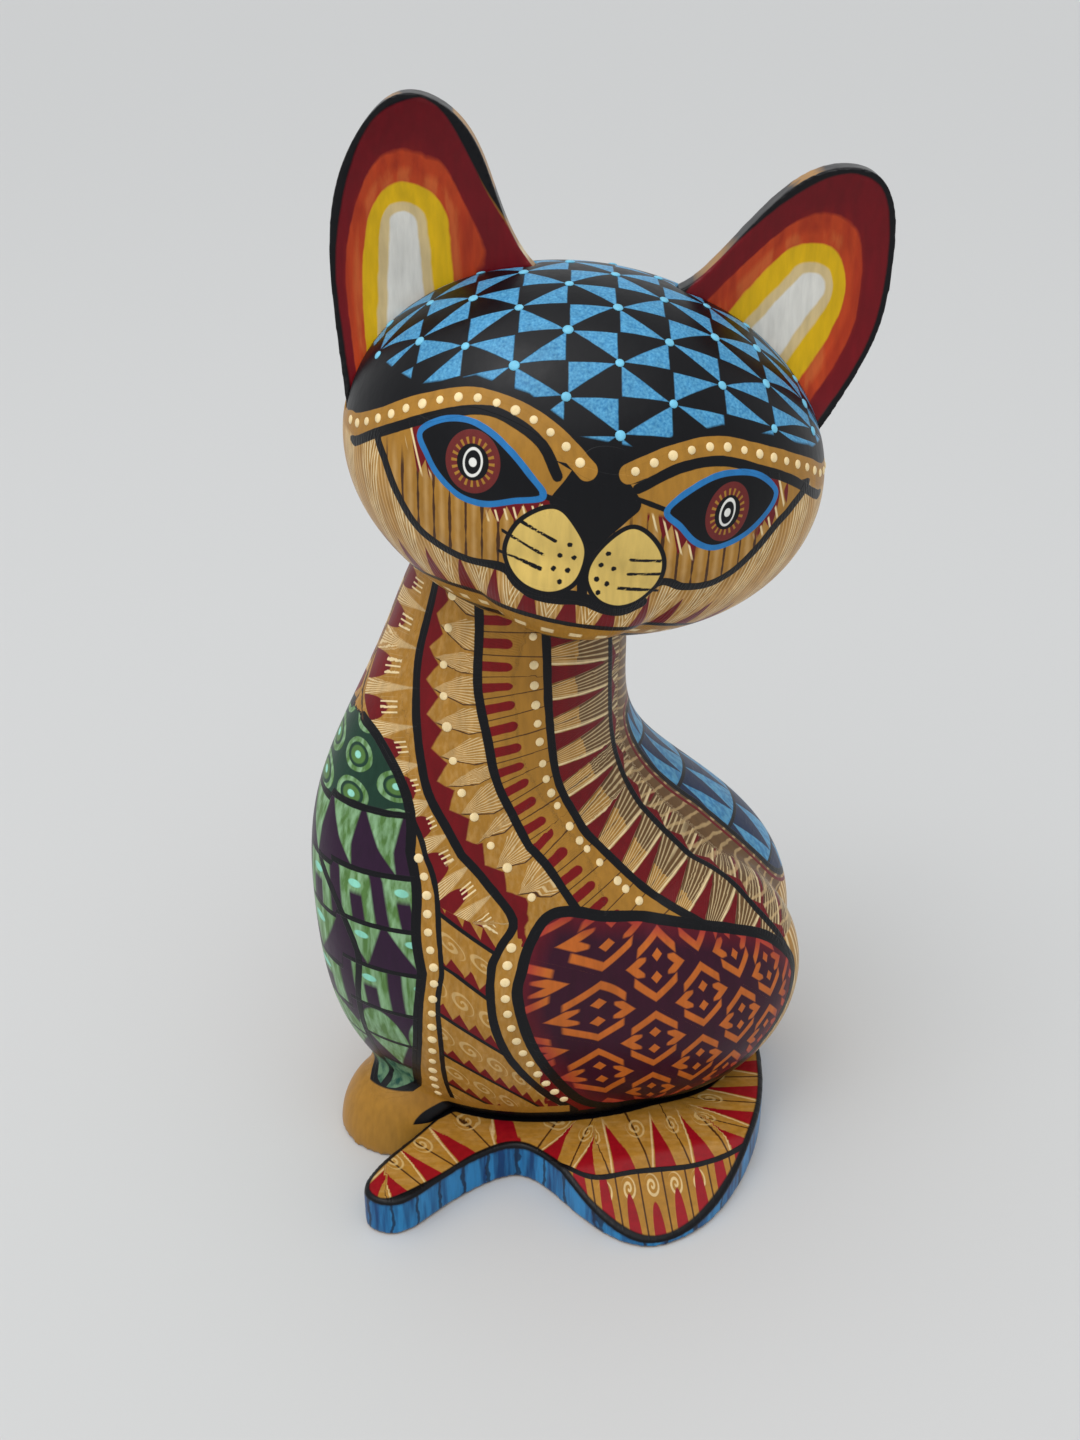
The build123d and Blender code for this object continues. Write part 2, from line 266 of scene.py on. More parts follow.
# %% Layers of paint
class Paint:
    """A painted finish, built up layer by layer."""

    def __init__(self, name, ground):
        self.material = bpy.data.materials.new(name)
        self.material.use_nodes = True
        self.tree = self.material.node_tree
        self.tree.nodes.clear()
        self.read = {}
        place = self.tree.nodes.new("ShaderNodeTexCoord")
        self.place = place.outputs["Object"]
        split = self.tree.nodes.new("ShaderNodeSeparateXYZ")
        self.tree.links.new(self.place, split.inputs[0])
        self.x, self.y, self.z = (Ink(self, s) * MM for s in split.outputs)
        self.tremble = (self.noise(330.0, 2.0) - 0.5) * 0.5
        self.colour = self.flat(ground)
        self.relief = self.constant(0.0)

    def flat(self, colour):
        node = self.tree.nodes.new("ShaderNodeRGB")
        node.outputs[0].default_value = colour
        return node.outputs[0]

    def constant(self, number):
        node = self.tree.nodes.new("ShaderNodeValue")
        node.outputs[0].default_value = number
        return Ink(self, node.outputs[0])

    def math(self, kind, *values):
        node = self.tree.nodes.new("ShaderNodeMath")
        node.operation = kind
        for place, value in zip(node.inputs, values):
            if isinstance(value, Ink):
                self.tree.links.new(value.socket, place)
            else:
                place.default_value = float(value)
        return Ink(self, node.outputs[0])

    def noise(self, scale, detail=3.0, stretch=(1, 1, 1)):
        turn = self.tree.nodes.new("ShaderNodeMapping")
        turn.inputs["Scale"].default_value = stretch
        node = self.tree.nodes.new("ShaderNodeTexNoise")
        node.inputs["Scale"].default_value = scale
        node.inputs["Detail"].default_value = detail
        self.tree.links.new(self.place, turn.inputs["Vector"])
        self.tree.links.new(turn.outputs[0], node.inputs["Vector"])
        return Ink(self, node.outputs[0])

    def number(self, name):
        if name not in self.read:
            node = self.tree.nodes.new("ShaderNodeAttribute")
            node.attribute_name = name
            self.read[name] = Ink(self, node.outputs["Fac"])
        return self.read[name]

    def under(self, value, edge=0.0, soft=0.1):
        """1 where value is below edge, with a soft step soft wide."""
        node = self.math("MULTIPLY_ADD", value - edge if edge else value, -1.0 / soft, 0.5)
        node.socket.node.use_clamp = True
        return node

    def line(self, distance, width, soft=0.1):
        """1 on a brush line of that width."""
        return self.under(abs(distance) + self.tremble * 0.5, width / 2, soft)

    def stripes(self, value, half_width, soft=0.1):
        """1 on a stripe in the middle of every whole number that value passes."""
        return self.under(abs(value.fract() - 0.5), half_width, soft)

    def curl(self, across, up, turns, half_width=0.2, soft=0.1):
        """A spiral stroke about (0, 0), and the distance from its middle."""
        out = (across * across + up * up).root()
        bearing = self.math("ARCTAN2", up, across)
        return self.stripes(out * turns + bearing / 6.283, half_width, soft), out

    def lay(self, mask, colour, body=0.0):
        """Lays a colour where mask is 1; body is how proud the paint stands."""
        self.colour = self.blend(mask, self.colour, colour)
        if body:
            self.relief = self.relief + mask * body

    def blend(self, mask, first, second):
        """The first colour, or the second where mask is 1."""
        node = self.tree.nodes.new("ShaderNodeMix")
        node.data_type = "RGBA"
        self.tree.links.new(mask.socket, node.inputs[0])
        for place, colour in ((node.inputs[6], first), (node.inputs[7], second)):
            if isinstance(colour, bpy.types.NodeSocket):
                self.tree.links.new(colour, place)
            else:
                place.default_value = colour
        return node.outputs[2]

    def varnish(self, piece, sheen=0.36):
        """Closes the recipe: brush streaks, wear, the varnish's sheen and the relief of the strokes."""
        streaks = self.noise(900.0, 4.0, (1.0, 1.0, 0.16))
        clouds = self.noise(90.0, 3.0)
        streaked = self.math("MULTIPLY_ADD", streaks - 0.5, 0.55, 1.0)
        tone = streaked * self.math("MULTIPLY_ADD", clouds - 0.5, 0.35, 1.0)
        shade = self.tree.nodes.new("ShaderNodeVectorMath")
        shade.operation = "SCALE"
        self.tree.links.new(self.colour, shade.inputs[0])
        self.tree.links.new(tone.socket, shade.inputs["Scale"])
        bump = self.tree.nodes.new("ShaderNodeBump")
        bump.inputs["Strength"].default_value = 0.6
        bump.inputs["Distance"].default_value = 0.00012
        height = self.relief + streaks * 0.35 + self.noise(160.0, 2.0) * 1.6
        self.tree.links.new(height.socket, bump.inputs["Height"])
        rough = self.math("MULTIPLY_ADD", streaks, 0.16, sheen - 0.08)
        surface = self.tree.nodes.new("ShaderNodeBsdfPrincipled")
        surface.inputs["Specular IOR Level"].default_value = 0.2
        surface.inputs["Coat Weight"].default_value = 0.05
        surface.inputs["Coat Roughness"].default_value = 0.25
        self.tree.links.new(shade.outputs[0], surface.inputs["Base Color"])
        self.tree.links.new(rough.socket, surface.inputs["Roughness"])
        self.tree.links.new(bump.outputs[0], surface.inputs["Normal"])
        out = self.tree.nodes.new("ShaderNodeOutputMaterial")
        self.tree.links.new(surface.outputs[0], out.inputs[0])
        piece.data.materials.append(self.material)
        print(self.material.name, "has", len(self.tree.nodes), "nodes")


# %% [markdown]
# ## The head's drawing
# The head leans to one side, so its drawing is made square to the face: across from the nose, up
# from the middle of the skull, and pressed back on to the wood. Two long lines run right round the
# skull under the black cap, and the rest is eyes, nose, whisker pads and cheeks.

# %% Face lines
LEAN = math.radians(11.5)
SKULL_FROM_NECK = (9.1, -6.0, 18.0)  # the skull's middle from the neck's end, mm
neck_low, neck_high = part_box("neck_dowel")
head_middle = np.array([v * MM for v in (neck_low + neck_high) / 2]) + SKULL_FROM_NECK
across_face = np.array([math.cos(LEAN), 0, -math.sin(LEAN)])
up_face = np.array([math.sin(LEAN), 0, math.cos(LEAN)])
head_wood = surface_of(head)


def face_places(piece):
    """Across, back and up from the middle of the skull, square to the face."""
    p = coordinates(piece) - head_middle
    return p @ across_face, p[:, 1], p @ up_face


def on_face(points, back=False):
    """Presses face points on to the skull, from the front or from behind."""
    side = 1.0 if back else -1.0
    pressed = []
    for across, up in points:
        start = head_middle + across * across_face + up * up_face + (0, side * 60, 0)
        hit = head_wood.ray_cast(Vector(start / MM), Vector((0, -side, 0)))[0]
        if hit is None:
            hit = head_wood.find_nearest(Vector((start - (0, side * 60, 0)) / MM))[0]
        pressed.append(np.array(hit) * MM)
    return np.array(pressed)


def ring(left_end, right_end, behind):
    """A line from the nose out to the left, round behind the skull, and back in from the right."""
    left = on_face(smooth_line(left_end))
    rear = on_face(smooth_line(behind), back=True)
    right = on_face(smooth_line(right_end))
    return np.vstack([left, rear, right])


across, back, up = face_places(head)
head_places = coordinates(head)
front = back < 3.0

BROW_LEFT = [(-1.8, 6.6), (-6, 9.5), (-11.5, 11.6), (-19, 11.7), (-26, 8.3), (-31, 4.3), (-35, 0.8)]
BROW_RIGHT = [(35, 6.3), (31, 8.6), (24, 10.8), (16, 12.0), (9.5, 10.3), (4, 7.2)]
BROW_BEHIND = [(-36, -0.6), (-30, -2.5), (-15, -3), (0, -2), (15, 0), (30, 4), (36, 5.4)]
LASH_LEFT = [(-5.6, 5.0), (-8.5, 8.6), (-13, 10.5), (-17.5, 10.6), (-24, 7.5), (-31, 2.2), (-34.5, -1.6)]
LASH_RIGHT = [(34.8, 3.6), (29, 7.2), (23.5, 9.0), (17, 10.2), (11, 8.9), (5.6, 5.4)]
LASH_BEHIND = [(-35.8, -3.2), (-30, -5.2), (-15, -5.7), (0, -4.7), (15, -2.7), (30, 1.3), (35.8, 2.8)]
brow = ring(BROW_LEFT, BROW_RIGHT, BROW_BEHIND)
lash = ring(LASH_LEFT, LASH_RIGHT, LASH_BEHIND)
keep(head, "brow", line_distance(head_places, brow)[0])
keep(head, "lash", line_distance(head_places, lash)[0])


def level_of(front_points, back_points):
    """How high a line round the skull lies, at every place of the head."""
    return np.where(front, np.interp(across, *front_points.T), np.interp(across, *back_points.T))


brow_front = np.array([(-60, -1), *BROW_LEFT[::-1], (1, 6.0), *BROW_RIGHT[::-1], (60, 6)])
brow_back = np.array([(-60, -1), *BROW_BEHIND, (60, 6)])
above_brow = up - level_of(brow_front, brow_back)
keep(head, "cap", above_brow)
keep(head, "crown", np.where(front, np.minimum(above_brow - 2.7, up - 10.8), above_brow - 2.7))
print("two lines run round the skull:", len(brow), "and", len(lash), "points")

# %% [markdown]
# ### Eyes, nose, pads and whiskers
# Each patch of the face is a closed outline. The wood knows how far it is from that outline, and
# whether it lies inside. The fine strokes are short lines of their own.

# %% Patches of the face
def patch_distance(outline, step=0.5):
    """Distance to a closed outline on the face, below 0 inside it."""
    flat = smooth_line(outline, closed=True, step=step)
    far, _ = line_distance(head_places, on_face(flat))
    return np.where(within(across, up, flat) & (back < -4), -far, far)


EYE_LEFT = [(-25.2, 5.0), (-22.6, 7.6), (-19, 8.8), (-15.6, 8.2), (-12.5, 6.6), (-9.8, 4.6), (-7.0, 1.9),
            (-10.8, 0.2), (-14.5, -1.4), (-18.2, -1.5), (-21.6, 0.3), (-23.8, 2.6)]
EYE_RIGHT = [(10.4, 2.9), (13, 6.0), (17, 8.4), (22, 8.7), (25.6, 6.9), (26.4, 5.2), (25.2, 2.6),
             (22.6, -0.2), (18.8, -2.0), (15.6, -1.2), (12.8, 1.0)]
PAD_LEFT = [(-6.8, 0.1), (-4.2, 0.6), (-1.5, -1.6), (0.4, -4.4), (0.6, -7.8), (-0.6, -10.4),
            (-3.4, -12.1), (-7.0, -11.9), (-9.6, -10.0), (-10.6, -6.8), (-9.6, -2.8)]
PAD_RIGHT = [(6.3, 0.0), (8.8, -0.9), (11.2, -3.4), (12.1, -6.4), (11.6, -9.4), (9.8, -11.6),
             (7.0, -12.6), (4.2, -12.0), (2.2, -10.2), (1.4, -8.0), (2.2, -4.6), (4.2, -1.4)]
NOSE = [(-1.8, 9.5), (3.0, 10.0), (3.6, 7.0), (6.6, 3.4), (5.2, 0.8), (3.2, -2.0), (1.8, -4.8),
        (0.8, -4.6), (-1.0, -2.2), (-3.2, 0.2), (-6.0, 1.2), (-4.6, 4.6)]
CHEEK_LEFT = [(-29.5, -1.2), (-26.8, -5.4), (-23.3, -9.1), (-19.4, -10.8), (-15.2, -11.4), (-10, -10.6),
              (-7, -12.4), (1, -11.6), (8, -13.0), (12.2, -8.4)]
CHEEK_RIGHT = [(19.6, -8.5), (22.6, -6.4), (25.3, -2.9), (27.6, 0.9), (29.7, 3.4)]
MASK = [(-31, 2.6), *CHEEK_LEFT, (15.9, -9.0), *CHEEK_RIGHT, (31.6, 7.0), (24, 9.0), (17, 10.2), (10, 8.6),
        (1, 6.0), (-8.5, 8.6), (-13, 10.5), (-18, 10.5), (-25, 7)]
keep(head, "eye", np.minimum(patch_distance(EYE_LEFT), patch_distance(EYE_RIGHT)))
keep(head, "pad", np.minimum(patch_distance(PAD_LEFT), patch_distance(PAD_RIGHT)))
keep(head, "nose", patch_distance(NOSE))
keep(head, "mask", patch_distance(MASK))

IRISES = on_face([(-17.3, 3.7), (19.3, 3.3)])
to_iris = [head_places - middle for middle in IRISES]
nearer = np.linalg.norm(to_iris[0], axis=1) < np.linalg.norm(to_iris[1], axis=1)
offset = np.where(nearer[:, None], to_iris[0], to_iris[1])
slant = np.where(nearer, 1.12, 1.35)
keep(head, "iris_across", offset @ across_face * slant)
keep(head, "iris_up", offset @ up_face)

EYE_TAILS = [[(-7.2, 2.0), (-3.4, 1.6)], [(10.6, 3.0), (6.0, 4.0)]]
PHILTRUM = [(1.2, -4.0), (0.9, -7.0), (1.1, -10.0), (1.6, -12.4)]
UNDER_PADS = [(-9.0, -11.3), (-6, -12.9), (-2.6, -12.9), (1.2, -12.2), (4.6, -13.1), (7.6, -13.5),
              (10.6, -12.0)]
WHISKERS = [
    [(-9.4, -2.4), (-4.0, -4.2)], [(-11.5, -4.6), (-5.2, -6.8)], [(-11.3, -8.1), (-5.2, -8.9)],
    [(7.0, -5.1), (11.4, -4.7)], [(7.3, -7.5), (11.9, -6.9)], [(6.2, -9.7), (12.2, -10.0)],
]
FRECKLES = [
    (-1.9, -4.3), (-2.9, -6.3), (-0.9, -6.2), (-3.4, -8.4), (-1.4, -8.2), (-2.2, -10.0),
    (3.7, -4.6), (3.1, -6.6), (5.0, -6.9), (2.9, -8.7), (4.5, -9.2), (3.5, -10.6),
]


def nearest_of(lines):
    """Distance to the nearest of several short strokes on the face."""
    return np.min([line_distance(head_places, on_face(line))[0] for line in lines], axis=0)


keep(head, "eye_tail", nearest_of(EYE_TAILS))
keep(head, "muzzle_line", nearest_of([smooth_line(PHILTRUM), smooth_line(UNDER_PADS)]))
keep(head, "whisker", nearest_of(WHISKERS))
keep(head, "freckle", np.min([np.linalg.norm(head_places - f, axis=1) for f in on_face(FRECKLES)], axis=0))
print("eyes, nose, pads,", len(WHISKERS), "whiskers and", len(FRECKLES), "freckles")

# %% [markdown]
# ### Cheeks, jaw and cap
# The cheek strokes fan down from the mask and the lash line to the jaw. The cap's darts meet in
# rows: across in millimetres, and up as the angle from the face, so that they close in over the top.

# %% Cheeks, jaw and cap
CAP_PITCH = 7.6  # mm across, from one meeting point of the darts to the next
CAP_SHIFT = 4.1  # mm from the skull's middle to a meeting point
CAP_FIRST, CAP_CLIMB = 22.5, 10.3  # degrees up from the face of the first row, and from row to row
CAP_SAG = 27.0  # mm; the smaller it is, the more a row of darts sags in its middle


def cap_squeeze(climb):
    """How much closer the darts stand, climb degrees up from the face."""
    return 1 + 0.0022 * np.clip(climb - 22, -20, 200)


lash_front = np.array([(-60, -3), (-34.5, -1.6), (-31, 2.2), *CHEEK_LEFT, *CHEEK_RIGHT,
                       (31.6, 6), (34.8, 3.6), (60, 3)])
lash_back = np.array([(-60, -3), *LASH_BEHIND, (60, 3)])
fan_top = level_of(lash_front, lash_back)
jaw_height = np.where(front, -16.6 - 0.0042 * across**2 - 0.05 * np.abs(back + 28) - 2.0 * (back > 0), -20.0)
keep(head, "fan_fall", (fan_top - up) / np.maximum(fan_top - jaw_height, 2.0))
keep(head, "jaw", jaw_height - up)
keep(head, "round", np.degrees(np.arctan2(across, -back)))
keep(head, "face_x", across)
keep(head, "face_z", up)

from_skull = head_places - head_middle
climb = np.degrees(np.arctan2(from_skull[:, 2], -from_skull[:, 1]))
keep(head, "tile_x", (from_skull[:, 0] - CAP_SHIFT) / CAP_PITCH * cap_squeeze(climb))
keep(head, "tile_y", (climb - CAP_FIRST) / CAP_CLIMB + (from_skull[:, 0] / CAP_SAG) ** 2 * 0.5)
print("the head's drawing is on the wood")

# %% [markdown]
# ### Painting the lower face
# Pale rays are drawn first over the ochre, then red teeth along the jaw and cream strokes between
# them. Inside the mask stand thin brown bars, with a saw-toothed red corner beside each eye.

# %% Paint on the lower face
paint = Paint("painted_head", OCHRE)
n = paint.number
fan = n("round") / 11.6
rise = 1.0 - n("fan_fall")
in_fan = paint.under(-n("fan_fall"), 0.02, 0.04)
ray = (n("round") * 0.55 + n("face_z") * 0.15) * 1.35
rays = paint.under(abs(ray.fract() - 0.5) * 0.74 + paint.tremble * 0.6, 0.14, 0.1)
paint.lay(paint.under(paint.noise(700.0, 3.0, (1, 1, 0.2)), 0.45, 0.3) * in_fan * 0.5, SAND)
paint.lay(rays * in_fan * 0.9, SAND, 0.3)
above_jaw = -n("jaw") / 6.6
tooth = paint.under(above_jaw - (1.0 - fan.wave() * 1.75) + paint.tremble * 0.1, 0.0, 0.04)
paint.lay(tooth * in_fan, MAROON, 0.4)
vee = abs((fan + 0.5).wave() * 6.0 - rise * 3.0)
strokes = paint.under(abs(vee.fract() - 0.5) + paint.tremble * 0.5, 0.16, 0.12)
in_vee = paint.under((fan + 0.5).wave() * 1.6 - rise * 0.8 - 0.25, 0.0, 0.05)
paint.lay(strokes * in_vee * in_fan, CREAM, 0.5)

in_mask = paint.under(n("mask"), 0.0)
paint.lay(in_mask, OCHRE)
bar = (n("face_x") + n("face_z") * 0.18) / 2.35
bars = paint.under(abs(bar.fract() - 0.5) * 2.35 + paint.tremble, 0.17, 0.1)
pale = paint.under(abs((bar + 0.5).fract() - 0.5) * 2.35 + paint.tremble * 1.6, 0.3, 0.5)
low = paint.under(n("face_z"), 1.0, 3.0) * in_mask
paint.lay(pale * low * 0.55, SAND)
paint.lay(bars * low, BROWN)
from_nose = abs(n("face_x") - 1.0)
inner_corner = paint.under(from_nose, 15.0, 1.0) * paint.under(n("face_z"), 2.2, 0.6)
outer_corner = paint.under(-from_nose, -23.5, 1.0) * paint.under(-n("face_z"), 0.5, 1.0)
corner = (inner_corner | outer_corner) * in_mask
sawtooth = n("eye") - 0.6 - (1.0 - abs(bar.fract() - 0.5) * 2.0) * 2.4
paint.lay(paint.under(sawtooth) * corner, MAROON, 0.3)
notch = paint.under(abs((bar * 1.6 + n("face_z") * 0.2).fract() - 0.5) * 1.5, 0.16, 0.1)
beside_eye = paint.under(n("eye"), 2.6, 0.3) * paint.under(-n("eye"), -0.9, 0.2)
paint.lay(notch * corner * beside_eye, CREAM, 0.4)
paint.lay(paint.line(n("mask"), 1.5) * paint.under(n("face_z"), 7.0), BLACK, 0.6)

# %% [markdown]
# ### Painting the cap
# The crown is laid in black, and sky blue darts are set into it with a thin black gap all round.
# Four waves multiplied together change sign at every edge of a dart, which makes them alternate.

# %% Paint on the cap
across_tile, up_tile = n("tile_x"), n("tile_y")
waves = paint.math("SINE", across_tile * math.pi) * paint.math("SINE", up_tile * math.pi)
for slant in (across_tile + up_tile, across_tile - up_tile):
    waves = waves * paint.math("SINE", slant * (math.pi / 2))
darts = paint.under(-waves, 0.0, 0.0001)
to_edge = abs((across_tile + 0.5).fract() - 0.5) & abs((up_tile + 0.5).fract() - 0.5)
for slant in (across_tile + up_tile, across_tile - up_tile):
    to_edge = to_edge & abs((slant * 0.5 + 0.5).fract() - 0.5) * 1.41
inset = paint.under(-to_edge + paint.tremble * 0.06, -0.036, 0.025)
mottle = paint.under(paint.noise(2600.0, 2.0), 0.5, 0.5)
sky = paint.blend(mottle, srgb(44, 120, 172), srgb(96, 172, 212))
cap = paint.under(-n("cap"), -0.6, 0.2)
paint.lay(cap, BLACK, 0.3)
paint.lay(cap * paint.under(-n("crown"), 0.0, 0.3) * darts * inset, sky, 0.5)

# %% [markdown]
# ### Painting the nose, brows, eyes and pads
# An ochre brow runs over a black lash line. Each eye is black with a blue edge, and holds a brown
# iris with a ring of ticks, a white oval and a white point. The whisker pads are plain yellow.

# %% Paint on the nose, brows and eyes
EYE_WHITE = srgb(232, 232, 226)
paint.lay(paint.under(n("nose")), BLACK, 0.6)
paint.lay(paint.line(n("brow"), 2.9), OCHRE, 0.4)
paint.lay(paint.line(n("lash"), 1.5), BLACK, 0.6)
paint.lay(paint.line(n("eye_tail"), 0.8), BLACK, 0.4)
paint.lay(paint.line(n("eye"), 1.0), srgb(38, 118, 182), 0.5)
in_eye = paint.under(n("eye"), -0.4)
paint.lay(in_eye, BLACK, 0.3)
iris_x, iris_z = n("iris_across"), n("iris_up")
iris = (iris_x * iris_x + iris_z * iris_z).root()
angle = paint.math("ARCTAN2", iris_z, iris_x)
ticks = paint.stripes(angle * (20 / (2 * math.pi)), 0.2, 0.08)
paint.lay(paint.under(iris, 4.3) * in_eye, srgb(108, 38, 36), 0.3)
paint.lay(paint.line(iris - 2.9, 0.95) * ticks * in_eye, OCHRE, 0.4)
paint.lay(paint.under(iris, 2.5) * in_eye, BLACK)
oval = (iris_x * iris_x * 1.75 + iris_z * iris_z).root()
paint.lay(paint.line(oval - 1.85, 0.42) * in_eye, EYE_WHITE, 0.6)
paint.lay(paint.under(iris, 0.62) * in_eye, EYE_WHITE, 0.6)

# %% [markdown]
# ### Painting the pads and the jaw
# The pads are outlined by laying them a little too large in black and then smaller in yellow. The
# jaw closes the face with two black lines and a row of cream dashes between them.

# %% Paint on the whisker pads and along the jaw
paint.lay(paint.under(n("pad"), 0.45), BLACK, 0.5)
paint.lay(paint.line(n("muzzle_line"), 1.5), BLACK, 0.5)
paint.lay(paint.under(n("pad"), -0.25), srgb(222, 190, 104), 0.3)
paint.lay(paint.line(n("whisker"), 0.55), BLACK, 0.4)
paint.lay(paint.under(n("freckle"), 0.42), BLACK, 0.4)
jaw = n("jaw")
paint.lay(paint.under(-jaw, 0.0), OCHRE)
paint.lay(paint.line(jaw - 2.4, 0.9) * paint.stripes(n("round") / 9.0, 0.22, 0.06), CREAM, 0.5)
paint.lay(paint.line(jaw, 0.9), BLACK, 0.5)
paint.lay(paint.line(jaw - 4.6, 1.6), BLACK, 0.5)
paint.varnish(head)

# %% [markdown]
# ## Ears
# Each ear is hollowed at the front and painted as arches inside arches, from a black rim through
# maroon, orange and yellow to a pale middle. The arches follow the rim, so they are laid by the
# distance in from it. The backs are plain ochre with a cream edge.

# %% Ear drawing
def ear_drawing(piece, foot, lean, half_width, length, rim, spine, skew):
    """Stores how far in from its rim each place of an ear lies. The outer arches follow the rim,
    and the inner ones close in on the spine, a short line up the middle of the ear."""
    angle = LEAN + math.radians(lean)
    wide = np.array([math.cos(angle), 0, -math.sin(angle)])
    tall = np.array([math.sin(angle), 0, math.cos(angle)])
    places = coordinates(piece) - (head_middle + foot[0] * across_face + foot[1] * up_face)
    u, v = places @ wide, places @ tall
    side = math.copysign(1, foot[0])
    outline = smooth_line([(side * x * half_width, y * length) for x, y in rim])
    flat = np.column_stack([u, np.zeros(len(u)), v])
    edge = np.column_stack([outline[:, 0], np.zeros(len(outline)), outline[:, 1]])
    from_rim, _ = line_distance(flat, edge, 30.0)
    foot_end, foot_start = (outline[end] * (0.9, 1) - (0, 20) for end in (-1, 0))
    inside = within(u, v, np.vstack([outline, foot_end, foot_start]))
    keep(piece, "rim", np.where(inside, from_rim, -from_rim))
    squeezed = (1, 1, 0.62)  # so that the arches stand further apart at the tip
    outer, _ = line_distance(flat * squeezed, edge * squeezed, 30.0)
    outer = outer + u * skew
    start, end = np.array(spine)
    leg = end - start
    reach = np.clip(((u - start[0]) * leg[0] + (v - start[1]) * leg[1]) / (leg @ leg), 0, 1)
    off_spine = np.hypot(u - start[0] - reach * leg[0], v - start[1] - reach * leg[1]) + v * 0.07
    inner = 11.2 - (off_spine - 3.3) * 0.92
    blend = np.clip((outer - 3.2) / 4.0, 0, 1)
    keep(piece, "arch", outer * (1 - blend) + inner * blend)
    keep(piece, "facing", -facing(piece, 1))
    keep(piece, "ear_up", v)
    keep(piece, "ear_across", u)


LEFT_RIM = [(1.00, -0.23), (0.94, 0.42), (0.52, 0.87), (0.04, 1.00), (-0.28, 0.92), (-0.56, 0.58),
            (-0.98, 0.21)]
RIGHT_RIM = [(1.05, -0.10), (1.03, 0.26), (0.89, 0.52), (0.56, 0.77), (0.20, 0.945), (-0.12, 1.00),
             (-0.45, 0.93), (-0.71, 0.69), (-0.99, 0.11)]
ear_drawing(left_ear, (-22.6, 11.3), -18.9, 17.0, 37.4, LEFT_RIM, [(-7.6, -4.0), (-4.6, 19.0)], -0.10)
ear_drawing(right_ear, (20.4, 17.8), 23.5, 14.8, 33.0, RIGHT_RIM, [(1.0, -4.0), (1.6, 15.0)], 0.03)

# %% [markdown]
# ### Painting the ears
# The arches are brushed lengthwise while the last colour is still wet, so their edges streak into
# each other. The black rim goes on last and hides where front and back meet.

# %% Ear paint
ARCHES = [  # mm in from the rim, and the colour from there inwards
    (0.0, srgb(112, 8, 20)), (3.9, srgb(190, 66, 26)), (7.0, srgb(222, 178, 12)),
    (9.8, srgb(214, 190, 138)), (11.2, srgb(222, 220, 212)),
]


def ear_paint(name, piece):
    """Arches in the hollow of an ear, fine stripes on its back, and a black rim."""
    paint = Paint(name, OCHRE)
    rim = paint.number("rim") + paint.tremble * 0.5
    streak = paint.noise(420.0, 4.0, (1.0, 1.0, 0.12))
    brushed = paint.number("arch") + paint.tremble * 1.0 + (streak - 0.5) * 0.3
    front_side = paint.under(-paint.number("facing"), -0.12, 0.12)
    for inset, colour in ARCHES:
        paint.lay(front_side * paint.under(-brushed, -inset, 0.3), colour, 0.25)
    red = front_side * paint.under(abs(brushed - 4.6), 0.9, 0.9) * paint.under(streak, 0.48, 0.2)
    paint.lay(red * 0.5, srgb(150, 30, 16))
    pale = front_side * paint.under(abs(brushed - 6.2), 0.8, 0.8) * paint.under(-streak, -0.52, 0.12)
    paint.lay(pale * 0.4, srgb(214, 120, 60))
    back_side = 1.0 - front_side
    hatch = paint.stripes(paint.number("ear_across") * 0.55 + paint.number("ear_up") * 0.12, 0.13)
    paint.lay(back_side * hatch * paint.under(-rim, -2.5, 0.3), SAND, 0.4)
    paint.lay(back_side * paint.line(rim - 2.0, 0.8), CREAM, 0.4)
    paint.lay(paint.under(rim, 0.95, 0.3) * (front_side | paint.under(-rim, 0.1)), BLACK, 0.4)
    paint.varnish(piece, 0.32)


ear_paint("painted_left_ear", left_ear)
ear_paint("painted_right_ear", right_ear)

# %% [markdown]
# ## The body's drawing
# The body is painted in long bands that fall from the collar, sweep over the shoulder and run into
# the thigh. They are set out round an upright line through the body: degrees from the middle of the
# chest, and height. The far side carries the same bands, opened out where its thigh sits further back.

# %% Body lines
torso_wood = surface_of(torso)
BACK = 176.0  # degrees round to the middle of the back, on the near side
# Five uprights that both sides share, chest to back: their degrees on the near side, on the far
# side low down, and how far each one follows the far side's own turn of the chest.
NEAR_STEPS = np.array([0.0, 40.0, 60.0, 111.0, 176.0])
FAR_STEPS = np.array([0.0, 64.0, 96.0, 150.0, 184.0])
EASE = np.array([0.0, 1.0, 1.0, 0.8, 0.0])


def body_line_x(z):
    """Where the upright line through the body stands across, at height z."""
    return np.interp(z, [0, 45, 65, 109], [2, 0, -8, -6])


def chest_turn(z):
    """How far the chest is turned at height z, in degrees."""
    return np.interp(z, [0, 60, 83, 92], [34, 34, 22, 9])


def far_steps(z):
    """Where the near side's degrees fall on the far side at height z."""
    low = np.clip((62 - z) / 20, 0, 1)[..., None]
    rise = np.clip((z - 50) / 54, 0, 1)
    even_turn = 34 - 25 * rise**2 * (3 - 2 * rise)
    return (NEAR_STEPS * (BACK + 8) / BACK * (1 - low) + FAR_STEPS * low
            - 2 * (even_turn - chest_turn(z))[..., None] * EASE)


